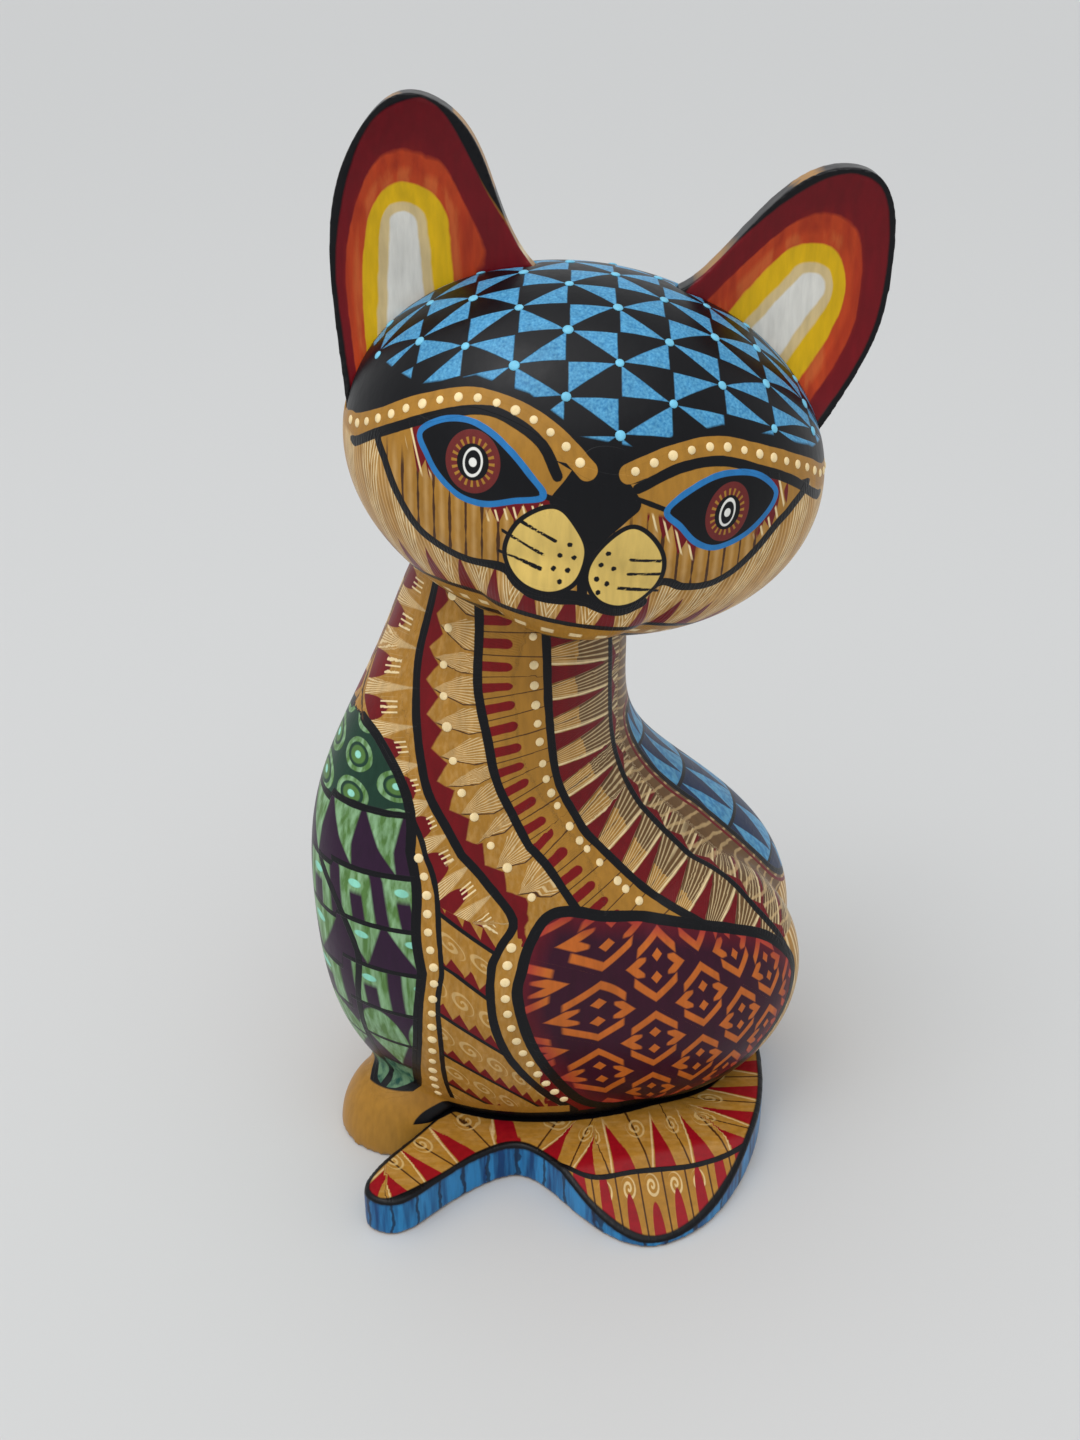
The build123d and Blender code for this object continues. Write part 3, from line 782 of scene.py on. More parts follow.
def body_places(piece):
    """Degrees from the chest and height; the far side is folded on to the near side's degrees."""
    p = coordinates(piece)
    bearing = np.degrees(np.arctan2(2 - p[:, 1], body_line_x(p[:, 2]) - p[:, 0])) - chest_turn(p[:, 2])
    bearing = (bearing + 184) % 360 - 184
    steps = far_steps(p[:, 2])
    folded = np.full(len(p), BACK)
    for k in range(4):
        share = (-bearing - steps[:, k]) / (steps[:, k + 1] - steps[:, k])
        near_degrees = NEAR_STEPS[k] + share * (NEAR_STEPS[k + 1] - NEAR_STEPS[k])
        folded = np.where((share >= 0) & (share < 1), near_degrees, folded)
    return p, np.where(bearing >= 0, bearing, folded), p[:, 2], bearing


def on_body(line, far=False):
    """Presses (degrees, height) points on to the body."""
    pressed = []
    for a, z in line:
        if far:
            a = -np.interp(a, NEAR_STEPS, far_steps(np.array(float(z))))
        angle = math.radians(a + chest_turn(z))
        ray = Vector((-math.cos(angle), -math.sin(angle), 0))
        middle = Vector((float(body_line_x(z)), 2.0, float(z)))
        hit = torso_wood.ray_cast((middle + ray * 90) / MM, -ray)[0]
        if hit is None:
            hit = torso_wood.find_nearest((middle + ray * 30) / MM)[0]
        pressed.append(np.array(hit) * MM)
    return np.array(pressed)


body, around, height, bearing = body_places(torso)
print("the body is charted:", len(body), "places")

# %% [markdown]
# ### Lines on both sides
# A line is given once, for the near side, and laid on both. It is joined smoothly in true bearings,
# so that it doesn't kink where the chest turns, and then taken back to degrees from the chest.

# %% Lines on both sides
def flowing(points, closed=False):
    """Joins (degrees, height) points smoothly, without a kink where the body turns."""
    bearings = [(a + chest_turn(z), z) for a, z in points]
    line = smooth_line(bearings, closed=closed, step=1.5)
    line[:, 0] -= chest_turn(line[:, 1])
    return line


def edge_at(points):
    """Where a falling line lies, in degrees, at the height of every place."""
    line = flowing(points)
    line = line[np.argsort(line[:, 1])]
    return np.interp(height, line[:, 1], line[:, 0])


def both_sides(points, closed=False, reach=16.0):
    """Distance to, and run along, the nearer of a line and its copy on the far side."""
    flat = flowing(points, closed)
    near, run_near = line_distance(body, on_body(flat), reach)
    far, run_far = line_distance(body, on_body(flat, far=True), reach)
    return np.minimum(near, far), np.where(near <= far, run_near, run_far)


# %% [markdown]
# ### Bands, panels and rows
# Four long lines part the bands. Each place learns how far it is past the nearest line, how far
# along the line it lies, and its share of the way from one line to the next. The thigh, the saddle
# and the chest panel are closed patches, and the rows inside them are steps of height.

# %% Bands
BAND_A = [(31, 108), (31, 97), (32.5, 89), (29.5, 82), (32, 75), (37, 69), (41, 64), (43, 60),
          (47, 54), (41, 50), (36, 46), (35, 41), (36, 32), (40, 24), (48, 16), (58, 10)]
BAND_B = [(56, 108), (59, 98), (61, 92), (55.5, 84), (56, 76), (62, 68), (66, 62), (68, 56),
          (71, 50), (76, 43)]
BAND_C = [(92, 108), (94, 97), (92, 90), (84, 82), (84, 74), (89, 67), (92, 61), (97, 55), (105, 48.5),
          (114, 42), (122, 36)]
BAND_D = [(140, 108), (138, 93), (128, 81), (124, 70), (122, 62), (123, 54), (122, 47), (125, 40),
          (127, 33)]
GREEN_EDGE = [(5, 83.5), (14, 82), (22, 78), (26, 73), (26, 67), (23, 60), (20, 51), (18, 40), (14, 27),
              (5, 13.5), (-3, 11.2)]
STRIP_EDGE = [(26, 72), (29.5, 66), (28, 60), (25.5, 51), (22.5, 41), (20.5, 28), (15, 12)]
THIGH = [(57, 53.5), (66, 54), (77, 52), (89, 50.5), (102, 48.5), (112, 46), (121, 42), (127, 35),
         (126, 29), (121, 22), (113, 15), (100, 10.5), (84, 9.5), (70, 10.5), (60, 13.5), (52, 20),
         (46, 28), (43, 36), (42.5, 43), (48, 49)]
SADDLE = [(146, 77), (156, 79), (176, 80), (196, 79), (206, 77), (208, 60), (203, 44), (188, 38),
          (176, 37), (164, 38), (149, 44), (144, 60)]

widths = {}
for name, points in {"a": BAND_A, "b": BAND_B, "c": BAND_C, "d": BAND_D}.items():
    gap, run = both_sides(points)
    edge = edge_at(points)
    widths[name] = gap
    keep(torso, "line_" + name, gap)
    keep(torso, "past_" + name, np.where(around > edge, gap, -gap))
    keep(torso, "run_" + name, run)

falling = {"a": BAND_A[:9], "b": BAND_B, "c": BAND_C, "d": BAND_D, "strip": STRIP_EDGE}
top_edges = {name: edge_at(points) for name, points in falling.items()}
left_of_a = np.interp(height, [45, 55, 60, 66, 73, 78, 82, 86, 108], [25, 27, 28, 29, 27, 22, 14, 3, 1])
keep(torso, "share_collar", (around - left_of_a) / np.maximum(top_edges["a"] - left_of_a, 3))
for first, second in ("ab", "bc", "cd"):
    keep(torso, "share_" + second, widths[first] / np.maximum(widths[first] + widths[second], 0.5)
         * np.where(around > top_edges[first], 1, -1))

print("four bands, each on both sides")

# %% [markdown]
# ### Panels and rows
# Inside a panel the paint needs to know its row. The rows of the two forelegs don't quite meet at
# the seam between them, because each leg is painted by itself.

# %% Panels and rows
thigh_gap, _ = both_sides(THIGH, closed=True)
in_thigh = within(around, height, flowing(THIGH, closed=True))
keep(torso, "thigh", np.where(in_thigh, -thigh_gap, thigh_gap))

saddle_flat = smooth_line(SADDLE, closed=True, step=2.0)
saddle_gap, _ = line_distance(body, on_body(saddle_flat))
whole_turn = bearing % 360
keep(torso, "saddle", np.where(within(whole_turn, height, saddle_flat), -saddle_gap, saddle_gap))
keep(torso, "whole_turn", whole_turn)

green_gap, _ = both_sides(GREEN_EDGE)
green_edge = edge_at(GREEN_EDGE)
in_green = (around < green_edge) & (height < 83.5) & (height > 11.2) & (np.abs(bearing) < 60)
keep(torso, "green", np.where(in_green, -green_gap, green_gap))
strip_gap, _ = both_sides(STRIP_EDGE)
keep(torso, "strip", np.where(around < top_edges["strip"], -strip_gap, strip_gap))
keep(torso, "chest_line", both_sides([(0, 108), (0, 90), (5, 83)])[0])
seam = on_body(smooth_line([(-7, 60), (0, 54), (4, 46), (2, 36), (0, 28), (-2, 18), (-2, 11)], step=2.0))
keep(torso, "leg_seam", line_distance(body, seam)[0])
rows_near = np.interp(height, [11, 20, 27, 35, 44, 52, 61, 71, 84], range(9))
rows_far = np.interp(height, [11, 18, 25, 32, 41, 51, 60, 70, 84], range(9))
keep(torso, "row", np.where(bearing > -1, rows_near, rows_far))
leg_rows = np.interp(height + (around - 25) * 0.62, [-2, 13, 24, 35, 46, 57, 72], range(7))
keep(torso, "leg_row", leg_rows)
keep(torso, "degrees", around)
keep(torso, "height", height)
thigh_near = np.arctan2((body[:, 0] - 16) / 28, -(body[:, 1] + 9) / 17) * 25
thigh_far = np.arctan2((body[:, 0] - 10) / 25, (body[:, 1] - 16) / 15) * 22
keep(torso, "lattice_x", np.where(bearing >= -12, thigh_near, thigh_far))
keep(torso, "to_tail", distance_to(surface_of(tail), body))
print("the body's drawing is on the wood")

# %% [markdown]
# ## Body paint
# Each band has its own filling: red forks beside the collar, red teeth and dotted ochre points, red
# fingers with a dot at each tip, and long red darts between hatched fans. A filling is one motif,
# repeated at an even pitch along its line and drawn from the share of the way across the band.

# %% Paint on the bands
paint = Paint("painted_torso", OCHRE)
n = paint.number
grain = paint.noise(1500.0, 3.0, (1.0, 1.0, 0.35))
paint.lay(paint.under(grain, 0.42, 0.3) * 0.35, SAND)
outside_thigh = paint.under(-n("thigh"), 0.0, 0.05)


def cell(run, pitch, shift=0.0):
    """Where a place lies in its repeat, -0.5 to 0.5, the middle at 0."""
    return ((run + shift) / pitch).fract() - 0.5


def between(share, low=0.0, high=1.0):
    """1 where a share lies between two values."""
    return paint.under(share, high, 0.01) * paint.under(-share, -low, 0.01)


def collar_band():
    """Red forks with cream prongs, and cream hatching between them."""
    share = n("share_collar")
    above_leg = paint.under(-n("height") - share * 7.0, -57.0, 0.1)
    band = between(share, 0.0, 1.0) * above_leg
    spot = cell(n("run_a"), 6.2)
    fork = paint.under((spot * spot * 11.0 + share * share * 3.2) + paint.tremble * 0.3, 1.0, 0.12)
    vee = paint.under(abs(spot) * -1.0 + 0.5 - (1.0 - share) * 0.26 + paint.tremble * 0.04, 0.0, 0.04)
    hatch = paint.stripes(((0.5 - abs(spot)) / ((1.0 - share) | 0.08)) * 13.0, 0.26, 0.15)
    paint.lay(band * vee * 0.25, SAND)
    paint.lay(band * vee * hatch * 0.75, CREAM, 0.5)
    paint.lay(band * fork, MAROON, 0.3)
    prong = paint.stripes(spot * 7.5 + 0.5, 0.17) * paint.under(abs(spot), 0.24, 0.03)
    paint.lay(band * prong * between(share, 0.42, 0.72), CREAM, 0.6)
    return band


def first_band():
    """Red teeth along the line, and hatched fans edged in brown behind the dotted points."""
    share = n("share_b")
    band = between(share) * outside_thigh
    from_tip = (share - 0.30) | 0.001
    spot = cell(n("run_a"), 5.7, 1.3)
    spread = from_tip * 0.95 & 0.43
    fan = paint.under(abs(spot) - spread, 0.0, 0.02)
    hatch = paint.stripes((spot / (from_tip * 0.9 + 0.05)) * 6.0, 0.19, 0.14)
    fan_edge = paint.under(abs(spot - spread) + paint.tremble * 0.02, 0.022, 0.02) * paint.under(-share, -0.3)
    tooth = share + abs(cell(n("run_a"), 5.7)) * 0.4 + paint.tremble * 0.05
    paint.lay(band * fan * 0.18, SAND)
    paint.lay(band * fan * hatch * 0.62, CREAM, 0.5)
    paint.lay(band * fan_edge, BROWN)
    paint.lay(band * paint.under(tooth, 0.38, 0.03), MAROON, 0.3)


def second_band():
    """Red fingers, with a fine brown line between each two."""
    share = n("share_c")
    band = between(share) * outside_thigh
    paint.lay(band, OCHRE)
    spot = cell(n("run_b"), 3.7)
    tip = ((share - 0.40) | 0.0) * 8.5
    finger = paint.under((spot * spot * 13.7 + tip * tip).root() + paint.tremble * 0.5, 0.82, 0.12)
    paint.lay(band * finger, srgb(122, 8, 14), 0.3)
    paint.lay(band * paint.under(abs(cell(n("run_b"), 3.7, 1.85)) * 3.7, 0.09, 0.1), BROWN)


def third_band():
    """Long red darts between fans hatched in cream."""
    share = n("share_d")
    band = between(share) * outside_thigh
    spot = cell(n("run_c"), 6.1)
    half = (1.0 - share) * 0.27
    hatch = paint.stripes((0.5 - abs(spot)) / (share * 0.75 + 0.25) * 6.0, 0.16, 0.14)
    paint.lay(band * 0.15, SAND)
    paint.lay(band * hatch * 0.62, CREAM, 0.5)
    paint.lay(band * paint.under(abs(spot + half + 0.05), 0.028, 0.03) * paint.under(share, 0.95), CREAM, 0.5)
    dart = abs(spot) - half + paint.tremble * 0.04 + ((share - 0.85) | 0.0)
    paint.lay(band * paint.under(dart, 0.0, 0.03), MAROON, 0.3)
    paint.lay(band * paint.under(abs(spot - half - 0.02), 0.014, 0.02), BROWN)


in_collar = collar_band()
first_band()
second_band()
third_band()
print("bands painted")

# %% [markdown]
# ### The back
# Behind the last line the ochre is combed with fine cream strokes. A blue saddle with rows of dark
# triangles lies over the spine, and a skirt of long red darts hangs under it.

# %% Paint on the back
behind = n("past_d")
in_rear = paint.under(-behind, 0.0) * outside_thigh * paint.under(-n("height"), -9.0)
strokes = paint.stripes(n("height") * 0.5 + n("degrees") * 0.035 + paint.tremble * 1.4, 0.12)
paint.lay(in_rear * strokes * 0.55, srgb(218, 186, 132), 0.5)
above_skirt = paint.under(-n("height"), -40.0, 0.3)
tooth = paint.under(abs(cell(n("run_d"), 6.4)) * 3.2 + (behind - 0.8), 1.2, 0.2)
paint.lay(in_rear * above_skirt * tooth, MAROON, 0.3)

at_back = paint.under(-n("degrees"), -118.0, 0.5)
skirt = at_back * outside_thigh * (1.0 - above_skirt)
spot = cell(n("degrees"), 9.5)
rise = (n("height") - 8.0) / 20.0
hatch = paint.stripes((0.5 - abs(spot)) / (rise * 0.7 + 0.35) * 6.0, 0.2, 0.14)
paint.lay(skirt, OCHRE)
paint.lay(skirt * hatch * 0.75, CREAM, 0.5)
paint.lay(skirt * paint.under(abs(spot) - (0.95 - rise) * 0.3 + paint.tremble * 0.04, 0.0, 0.03), MAROON, 0.3)
paint.lay(skirt * paint.under(n("height"), 8.0, 0.2), OCHRE)
paint.lay(at_back * paint.line(n("height") - 8.0, 1.2), BLACK, 0.5)

saddle = paint.under(n("saddle"))
blue_row = n("height") / 9.0
triangle = paint.under(abs(cell(n("whole_turn"), 11.0)) * 2.2 + (blue_row.fract() - 0.15) * 1.15, 1.0, 0.06)
wash = paint.under(paint.noise(1200.0, 3.0, (1, 1, 0.2)), 0.5, 0.2)
paint.lay(paint.line(n("saddle") - 1.5, 0.7), MAROON, 0.4)
paint.lay(saddle, srgb(54, 128, 178), 0.4)
paint.lay(saddle * wash * 0.5, srgb(112, 186, 216))
paint.lay(saddle * (1.0 - triangle), srgb(14, 36, 72), 0.3)
paint.lay(paint.line(n("saddle"), 1.3), BLACK, 0.6)
paint.lay(saddle * paint.under(abs(blue_row.fract() - 0.02) * 9.0, 0.4), BLACK, 0.4)

# %% [markdown]
# ### The chest panel
# The panel is ruled into rows. Each row has its own leaf-green motif on dark plum: triangles, bars
# or arches. The top row holds small ringed eyes, and pale beads are set into three of the others.

# %% Paint on the chest panel
LEAF, PALE, PLUM, TEAL = srgb(82, 120, 60), srgb(138, 178, 134), srgb(44, 18, 46), srgb(20, 74, 62)
in_green = paint.under(n("green"))
row = n("row")
level = row.fract()
spot = cell(n("degrees"), 12.5)
wash = paint.under(paint.noise(900.0, 4.0, (1, 1, 0.15)), 0.5, 0.25)
leaf = paint.blend(wash, LEAF, PALE)
triangles = paint.under(abs(spot) - (level - 0.05) * 0.47, 0.0, 0.05)
notched = paint.under(abs(spot), 0.14, 0.04) * paint.under(level, 0.55, 0.1)
bars = paint.under(abs(spot), 0.36, 0.05) * (1.0 - notched)
arches = paint.under(spot * spot * 3.4 + level * level * 0.9, 0.8, 0.1)


def in_row(number):
    """1 in one row of the panel, counted from the bottom."""
    return paint.under(-row, -number, 0.02) * paint.under(row, number + 1.0, 0.02)


paint.lay(in_green, srgb(26, 58, 44), 0.2)
for number, motif in ((6, triangles), (5, bars), (4, triangles), (3, bars), (2, arches), (1, triangles)):
    here = in_row(float(number)) * in_green
    paint.lay(here, PLUM, 0.2)
    paint.lay(here * motif, leaf, 0.4)
lowest_row = paint.under(row, 1.0, 0.02) * in_green
paint.lay(lowest_row, TEAL, 0.2)
paint.lay(lowest_row * wash * 0.6, PALE, 0.4)

eye_x = cell(n("degrees"), 15.0)
eye_z = (n("height") / 5.8 + (n("degrees") / 15.0).floor() * 0.5).fract() - 0.5
ring_size = (eye_x * eye_x + eye_z * eye_z).root()
top_row = paint.under(-row, -7.0, 0.02) * in_green
paint.lay(top_row * paint.line((ring_size - 0.36) * 5.0, 0.6), leaf, 0.4)
paint.lay(top_row * paint.under(ring_size, 0.22, 0.04), LEAF, 0.4)
paint.lay(top_row * paint.under(ring_size, 0.09, 0.03), srgb(150, 220, 200), 0.6)

bead_z = level - 0.72
beads = paint.under((spot * spot * 26.0 + bead_z * bead_z * 90.0).root(), 0.72, 0.2)
paint.lay(beads * (in_row(5.0) | in_row(4.0) | in_row(3.0)) * in_green, srgb(140, 214, 190), 0.6)
rule = paint.under(abs((row + 0.5).fract() - 0.5) * 9.0 + paint.tremble * 0.6, 0.45, 0.12)
paint.lay(in_green * rule, BLACK, 0.5)
paint.lay(in_green * paint.line(n("leg_seam"), 1.4), BLACK, 0.5)
paint.lay(paint.line(n("green"), 1.7), BLACK, 0.6)

# %% [markdown]
# ### The foreleg
# Between the chest panel and the first line the leg has slanting rows: a row of red teeth over a
# black rule, and a cream curl in each space. The forefoot itself is left plain ochre.

# %% Paint on the foreleg
strip = n("strip")
in_leg = (paint.under(-strip, 0.0) * paint.under(n("past_a"), 0.0) * (1.0 - in_collar)
          * paint.under(n("height"), 62.0))
leg_row = n("leg_row")
teeth = abs(cell(n("degrees"), 3.6))
bite = paint.under(leg_row.fract() * 7.0 - 0.5 - (0.5 - teeth) * 3.0, 0.0, 0.15)
side = cell(n("degrees"), 6.2)
curl_z = leg_row.fract() - 0.55
curl_size = (side * side * 6.0 + curl_z * curl_z * 36.0).root()
curl_bearing = paint.math("ARCTAN2", curl_z, side) / 6.283
swirl = paint.stripes(curl_size * 1.3 + curl_bearing, 0.2)
paint.lay(in_leg * paint.under(curl_size, 1.1, 0.1) * swirl * 0.6, srgb(214, 182, 124), 0.5)
paint.lay(in_leg * bite, MAROON, 0.3)
paint.lay(in_leg * paint.under(abs((leg_row + 0.5).fract() - 0.5) * 12.0, 0.5, 0.15), BLACK, 0.5)
in_paw = paint.under(n("height"), 12.0, 0.2) * paint.under(n("degrees"), 56.0, 0.5)
paint.lay(in_paw, OCHRE)
paint.lay(paint.line(strip, 0.9) * paint.under(-n("height"), -12.0), BLACK, 0.6)

# %% [markdown]
# ### The thigh
# A woven lattice: four-sided cells in two staggered sets, each with a broken frame, two barbs and
# two seeds. The ground and the lattice both turn redder towards the rim.

# %% Paint on the thigh
on_thigh = paint.under(n("thigh"))
near_rim = paint.under(-n("thigh"), 2.6, 3.6)
paint.lay(on_thigh, paint.blend(near_rim, srgb(52, 8, 32), srgb(92, 10, 28)), 0.2)
weft = n("lattice_x") / 16.3
warp = (n("height") - n("lattice_x") * 0.08) / 14.2
staggered = paint.under(-(abs(weft.fract() - 0.5) + abs(warp.fract() - 0.5)), -0.5, 0.001)
cell_x = abs((weft + 0.5 * staggered).fract() - 0.5)
cell_z = abs((warp + 0.5 * staggered).fract() - 0.5)
rhomb = cell_x + cell_z
frame_stroke = paint.under(abs(rhomb - 0.385), 0.055, 0.02) * paint.under(cell_x, 0.215, 0.02)
barb = (paint.under(abs(rhomb - 0.25), 0.06, 0.02) * paint.under(cell_z, 0.115, 0.02)
        * paint.under(-cell_x, -0.12, 0.02))
seed = paint.under(cell_x * 1.35 + abs(cell_z - 0.13), 0.075, 0.015)
lattice = (frame_stroke | barb | seed) * on_thigh
paint.lay(lattice, paint.blend(near_rim, srgb(190, 100, 36), srgb(168, 52, 46)), 0.5)
paint.lay(paint.line(n("thigh"), 1.9), BLACK, 0.6)

# %% [markdown]
# ### The long black lines
# They go on last of all, as a painter pulls them, and cover the ends of every filling. The plain
# foot of the body and the line round the tail close the drawing, and the neck's end is painted black as
# painted shade under the head.

# %% Long black lines
for name, width in (("a", 1.5), ("b", 1.5), ("c", 1.5), ("d", 1.25)):
    paint.lay(paint.line(n("line_" + name), width) * outside_thigh * (1.0 - in_paw), BLACK, 0.6)
paint.lay(paint.line(n("chest_line"), 0.5), BROWN, 0.4)
paint.lay(paint.under(n("height"), 9.0, 0.2) * paint.under(-n("degrees"), -38.0, 0.5), OCHRE)
beside_tail = paint.under(n("to_tail") + paint.tremble * 0.5, 2.4, 0.2)
paint.lay(beside_tail * paint.under(-n("height"), -6.8, 0.1), BLACK, 0.4)
# Painted shade: the neck's end, seen behind the head, is laid black to read as the shadow under the head.
paint.lay(paint.under(-n("height"), -107.5, 0.3), BLACK)
paint.varnish(torso, 0.38)

# %% [markdown]
# ## Tail
# The tail is a flat plank cut from another piece of wood and glued against the base. Its top is
# painted in two bands parted by a ridge line, with red darts in one and red drops in the other, and
# its edge is blue.

# %% Tail drawing
TAIL_REACH = 90.0  # mm that a share of 1 stands for in the outline below
TAIL_OUTLINE = [
    (0.418, 0.085), (0.425, -0.06), (0.405, -0.21), (0.345, -0.36), (0.25, -0.475), (0.155, -0.51),
    (0.06, -0.46), (-0.02, -0.37), (-0.085, -0.325), (-0.155, -0.35), (-0.25, -0.43), (-0.33, -0.478),
    (-0.375, -0.45), (-0.365, -0.395), (-0.295, -0.3), (-0.215, -0.2), (-0.12, -0.13), (0.06, -0.11),
    (0.24, -0.03), (0.325, 0.06), (0.372, 0.118),
]
TIP_TO_LOBE = [(-36, -42, 0), (-29.7, -44, 0), (-22.5, -39.7, 0), (-14, -32.2, 0), (-7.7, -30, 0)]
RIDGE = [(-2.5, -33, 0), (5, -36, 0), (13, -34.5, 0), (22, -33, 0), (28, -31, 0), (32.5, -28.5, 0)]
LOBE_TO_ROOT = [(36.2, -20, 0), (38, -6, 0), (37.5, 8, 0)]
tail_places = coordinates(tail)
plan = tail_places * (1, 1, 0)
rim_line = smooth_line([(x * TAIL_REACH, y * TAIL_REACH, 0) for x, y in TAIL_OUTLINE], closed=True)
front_gap, front_run = line_distance(plan, smooth_line(TIP_TO_LOBE + RIDGE + LOBE_TO_ROOT), 20.0)
ridge_x, ridge_y, _ = np.array(RIDGE).T
before_ridge = plan[:, 1] < np.interp(plan[:, 0], ridge_x, ridge_y)
keep(tail, "rim", line_distance(plan, rim_line, 20.0)[0])
keep(tail, "front_gap", front_gap)
keep(tail, "front_run", front_run)
keep(tail, "ridge", line_distance(plan, smooth_line(RIDGE), 20.0)[0])
keep(tail, "lobe", before_ridge & (plan[:, 0] > -2.5) & (plan[:, 0] < 34))
keep(tail, "to_torso", distance_to(torso_wood, tail_places))
keep(tail, "top", facing(tail, 2))

# %% [markdown]
# ### Painting the tail
# The darts start at the line along the front and point inwards, with a cream curl between each two.
# The lobe carries drops that hang from its rim. The blue edge is brushed downwards, round the rim.

# %% Paint on the tail's top
TAIL_RED = srgb(146, 14, 26)
paint = Paint("painted_tail", OCHRE)
n = paint.number
top = paint.under(-n("top"), -0.35, 0.3)
lobe = paint.under(-n("lobe"), -0.5, 0.2)
band = top * (1.0 - lobe)
share = n("front_gap") / 12.5
slanted = cell(n("front_run"), 7.3, 1.0) + share * 0.05
paint.lay(band * paint.under(paint.noise(1100.0, 3.0, (0.3, 1, 1)), 0.42, 0.3) * 0.3, SAND)
dart = paint.under(abs(slanted) - (0.9 - share) * 0.30 + paint.tremble * 0.03, 0.0, 0.02)
beside_dart = abs(slanted) - (0.9 - share) * 0.33 - 0.03
stroke = paint.under(abs(beside_dart + paint.tremble * 0.03), 0.02, 0.03) * paint.under(slanted, 0.0)
paint.lay(band * stroke * 0.6, CREAM, 0.5)
paint.lay(band * dart, TAIL_RED, 0.3)
spot = cell(n("front_run"), 7.3, 4.6)
paint.lay(band * paint.under(abs(spot + (share - 0.5) * 0.22), 0.022, 0.02), BROWN, 0.3)
swirl, size = paint.curl(spot * 7.3, (n("front_gap") - 9.5) * 0.62, 1.15, 0.2, 0.12)
paint.lay(band * paint.under(size, 1.6, 0.2) * swirl * 0.6, srgb(220, 190, 130), 0.5)

ray = (paint.x + paint.y * 0.14) / 4.2
spot = ray.fract() - 0.5
fall = n("rim") / 6.4
drop = paint.under(spot * spot * 16.0 + fall * fall - 0.95 + paint.tremble * 0.1, 0.0, 0.1)
paint.lay(top * lobe * drop, TAIL_RED, 0.3)
paint.lay(top * lobe * paint.under(abs((ray + 0.5).fract() - 0.5), 0.035, 0.03), BROWN, 0.3)
swirl, size = paint.curl(spot * 4.2, (n("ridge") - 2.6) * 0.62, 1.3, 0.22, 0.12)
clear = paint.under(-n("rim"), -3.0) * (1.0 - drop)
paint.lay(top * lobe * paint.under(size, 1.25, 0.2) * swirl * clear * 0.8, srgb(226, 200, 146), 0.5)
paint.lay(top * paint.line(n("ridge"), 0.9), BLACK, 0.6)
paint.lay(top * paint.under(n("to_torso") + paint.tremble * 0.4, 0.9, 0.2), BLACK, 0.4)

# %% Paint on the tail's edge
edge_wash = paint.under(paint.noise(500.0, 4.0, (1, 1, 0.1)), 0.52, 0.2)
paint.lay(1.0 - top, paint.blend(edge_wash, srgb(10, 62, 112), srgb(42, 128, 184)))
dark = paint.stripes(n("front_run") / 5.1 + paint.tremble * 0.8, 0.06, 0.04)
paint.lay((1.0 - top) * dark * 0.8, srgb(6, 20, 44), 0.3)
paint.lay(paint.under(n("rim"), 1.0, 0.3) * paint.under(-n("top"), -0.12, 0.2), BLACK, 0.6)
paint.lay(paint.under(n("top"), -0.6, 0.1), srgb(150, 104, 52))
paint.varnish(tail, 0.34)

# %% [markdown]
# ## Raised dots
# The last thing the painter does is load a round stick with thick paint and touch it down in rows:
# cream dots over the brows, down the bands and round the thigh, pale blue ones where the darts of
# the cap meet. A small node recipe sets one low dome at each point, so their size is one number.

# %% Where the dots go
def dotted(line, pitch):
    """Points an even pitch apart along a line, the first one half a pitch in."""
    legs = np.linalg.norm(np.diff(line, axis=0), axis=1)
    runs = np.concatenate([[0], np.cumsum(legs)])
    wanted = np.arange(pitch / 2, runs[-1], pitch)
    return np.column_stack([np.interp(wanted, runs, line[:, k]) for k in range(3)])


def toward(line, other, share, pitch):
    """Points an even pitch apart along a line, moved part of the way to another line."""
    moved = []
    for place in dotted(line, pitch):
        gaps = np.linalg.norm(other - place, axis=1)
        if gaps.min() < 16:
            moved.append(place + (other[np.argmin(gaps)] - place) * share)
    return np.array(moved)


def clear_of(places, keep_out, margin):
    """Leaves out the points that lie too near a place."""
    return np.array([q for q in places if np.linalg.norm(keep_out - q, axis=1).min() > margin])


brow_dots = [place for place in dotted(brow, 2.9)
             if place[1] > head_middle[1] or abs((place - head_middle) @ across_face - 1.0) > 2.6]


def cap_meeting_point(column, row):
    """Where four darts of the cap meet, or None where no cap is."""
    sag = 0.5 * ((column * CAP_PITCH + CAP_SHIFT) / CAP_SAG) ** 2
    climb = CAP_FIRST + CAP_CLIMB * (row - sag)
    x = CAP_SHIFT + column * CAP_PITCH / cap_squeeze(climb)
    if abs(x) > 35 or climb > 185:
        return None
    out = np.array([0, -math.cos(math.radians(climb)), math.sin(math.radians(climb))])
    hit = head_wood.ray_cast(Vector((head_middle + (x, 0, 0) + out * 60) / MM), Vector(-out))[0]
    if hit is None:
        return None
    place = np.array(hit) * MM
    from_middle = place - head_middle
    sideways, behind, height_up = from_middle @ across_face, from_middle[1], from_middle @ up_face
    over_brow = height_up - np.interp(sideways, *(brow_front if behind < 3 else brow_back).T)
    on_crown = over_brow > 2.9 and (behind > 3 or height_up > 10.6)
    return place if on_crown else None


cap_dots = [cap_meeting_point(column, row) for row in range(-1, 16) for column in range(-5, 6)
            if (column + row) % 2 == 0]
cap_dots = [place for place in cap_dots if place is not None]

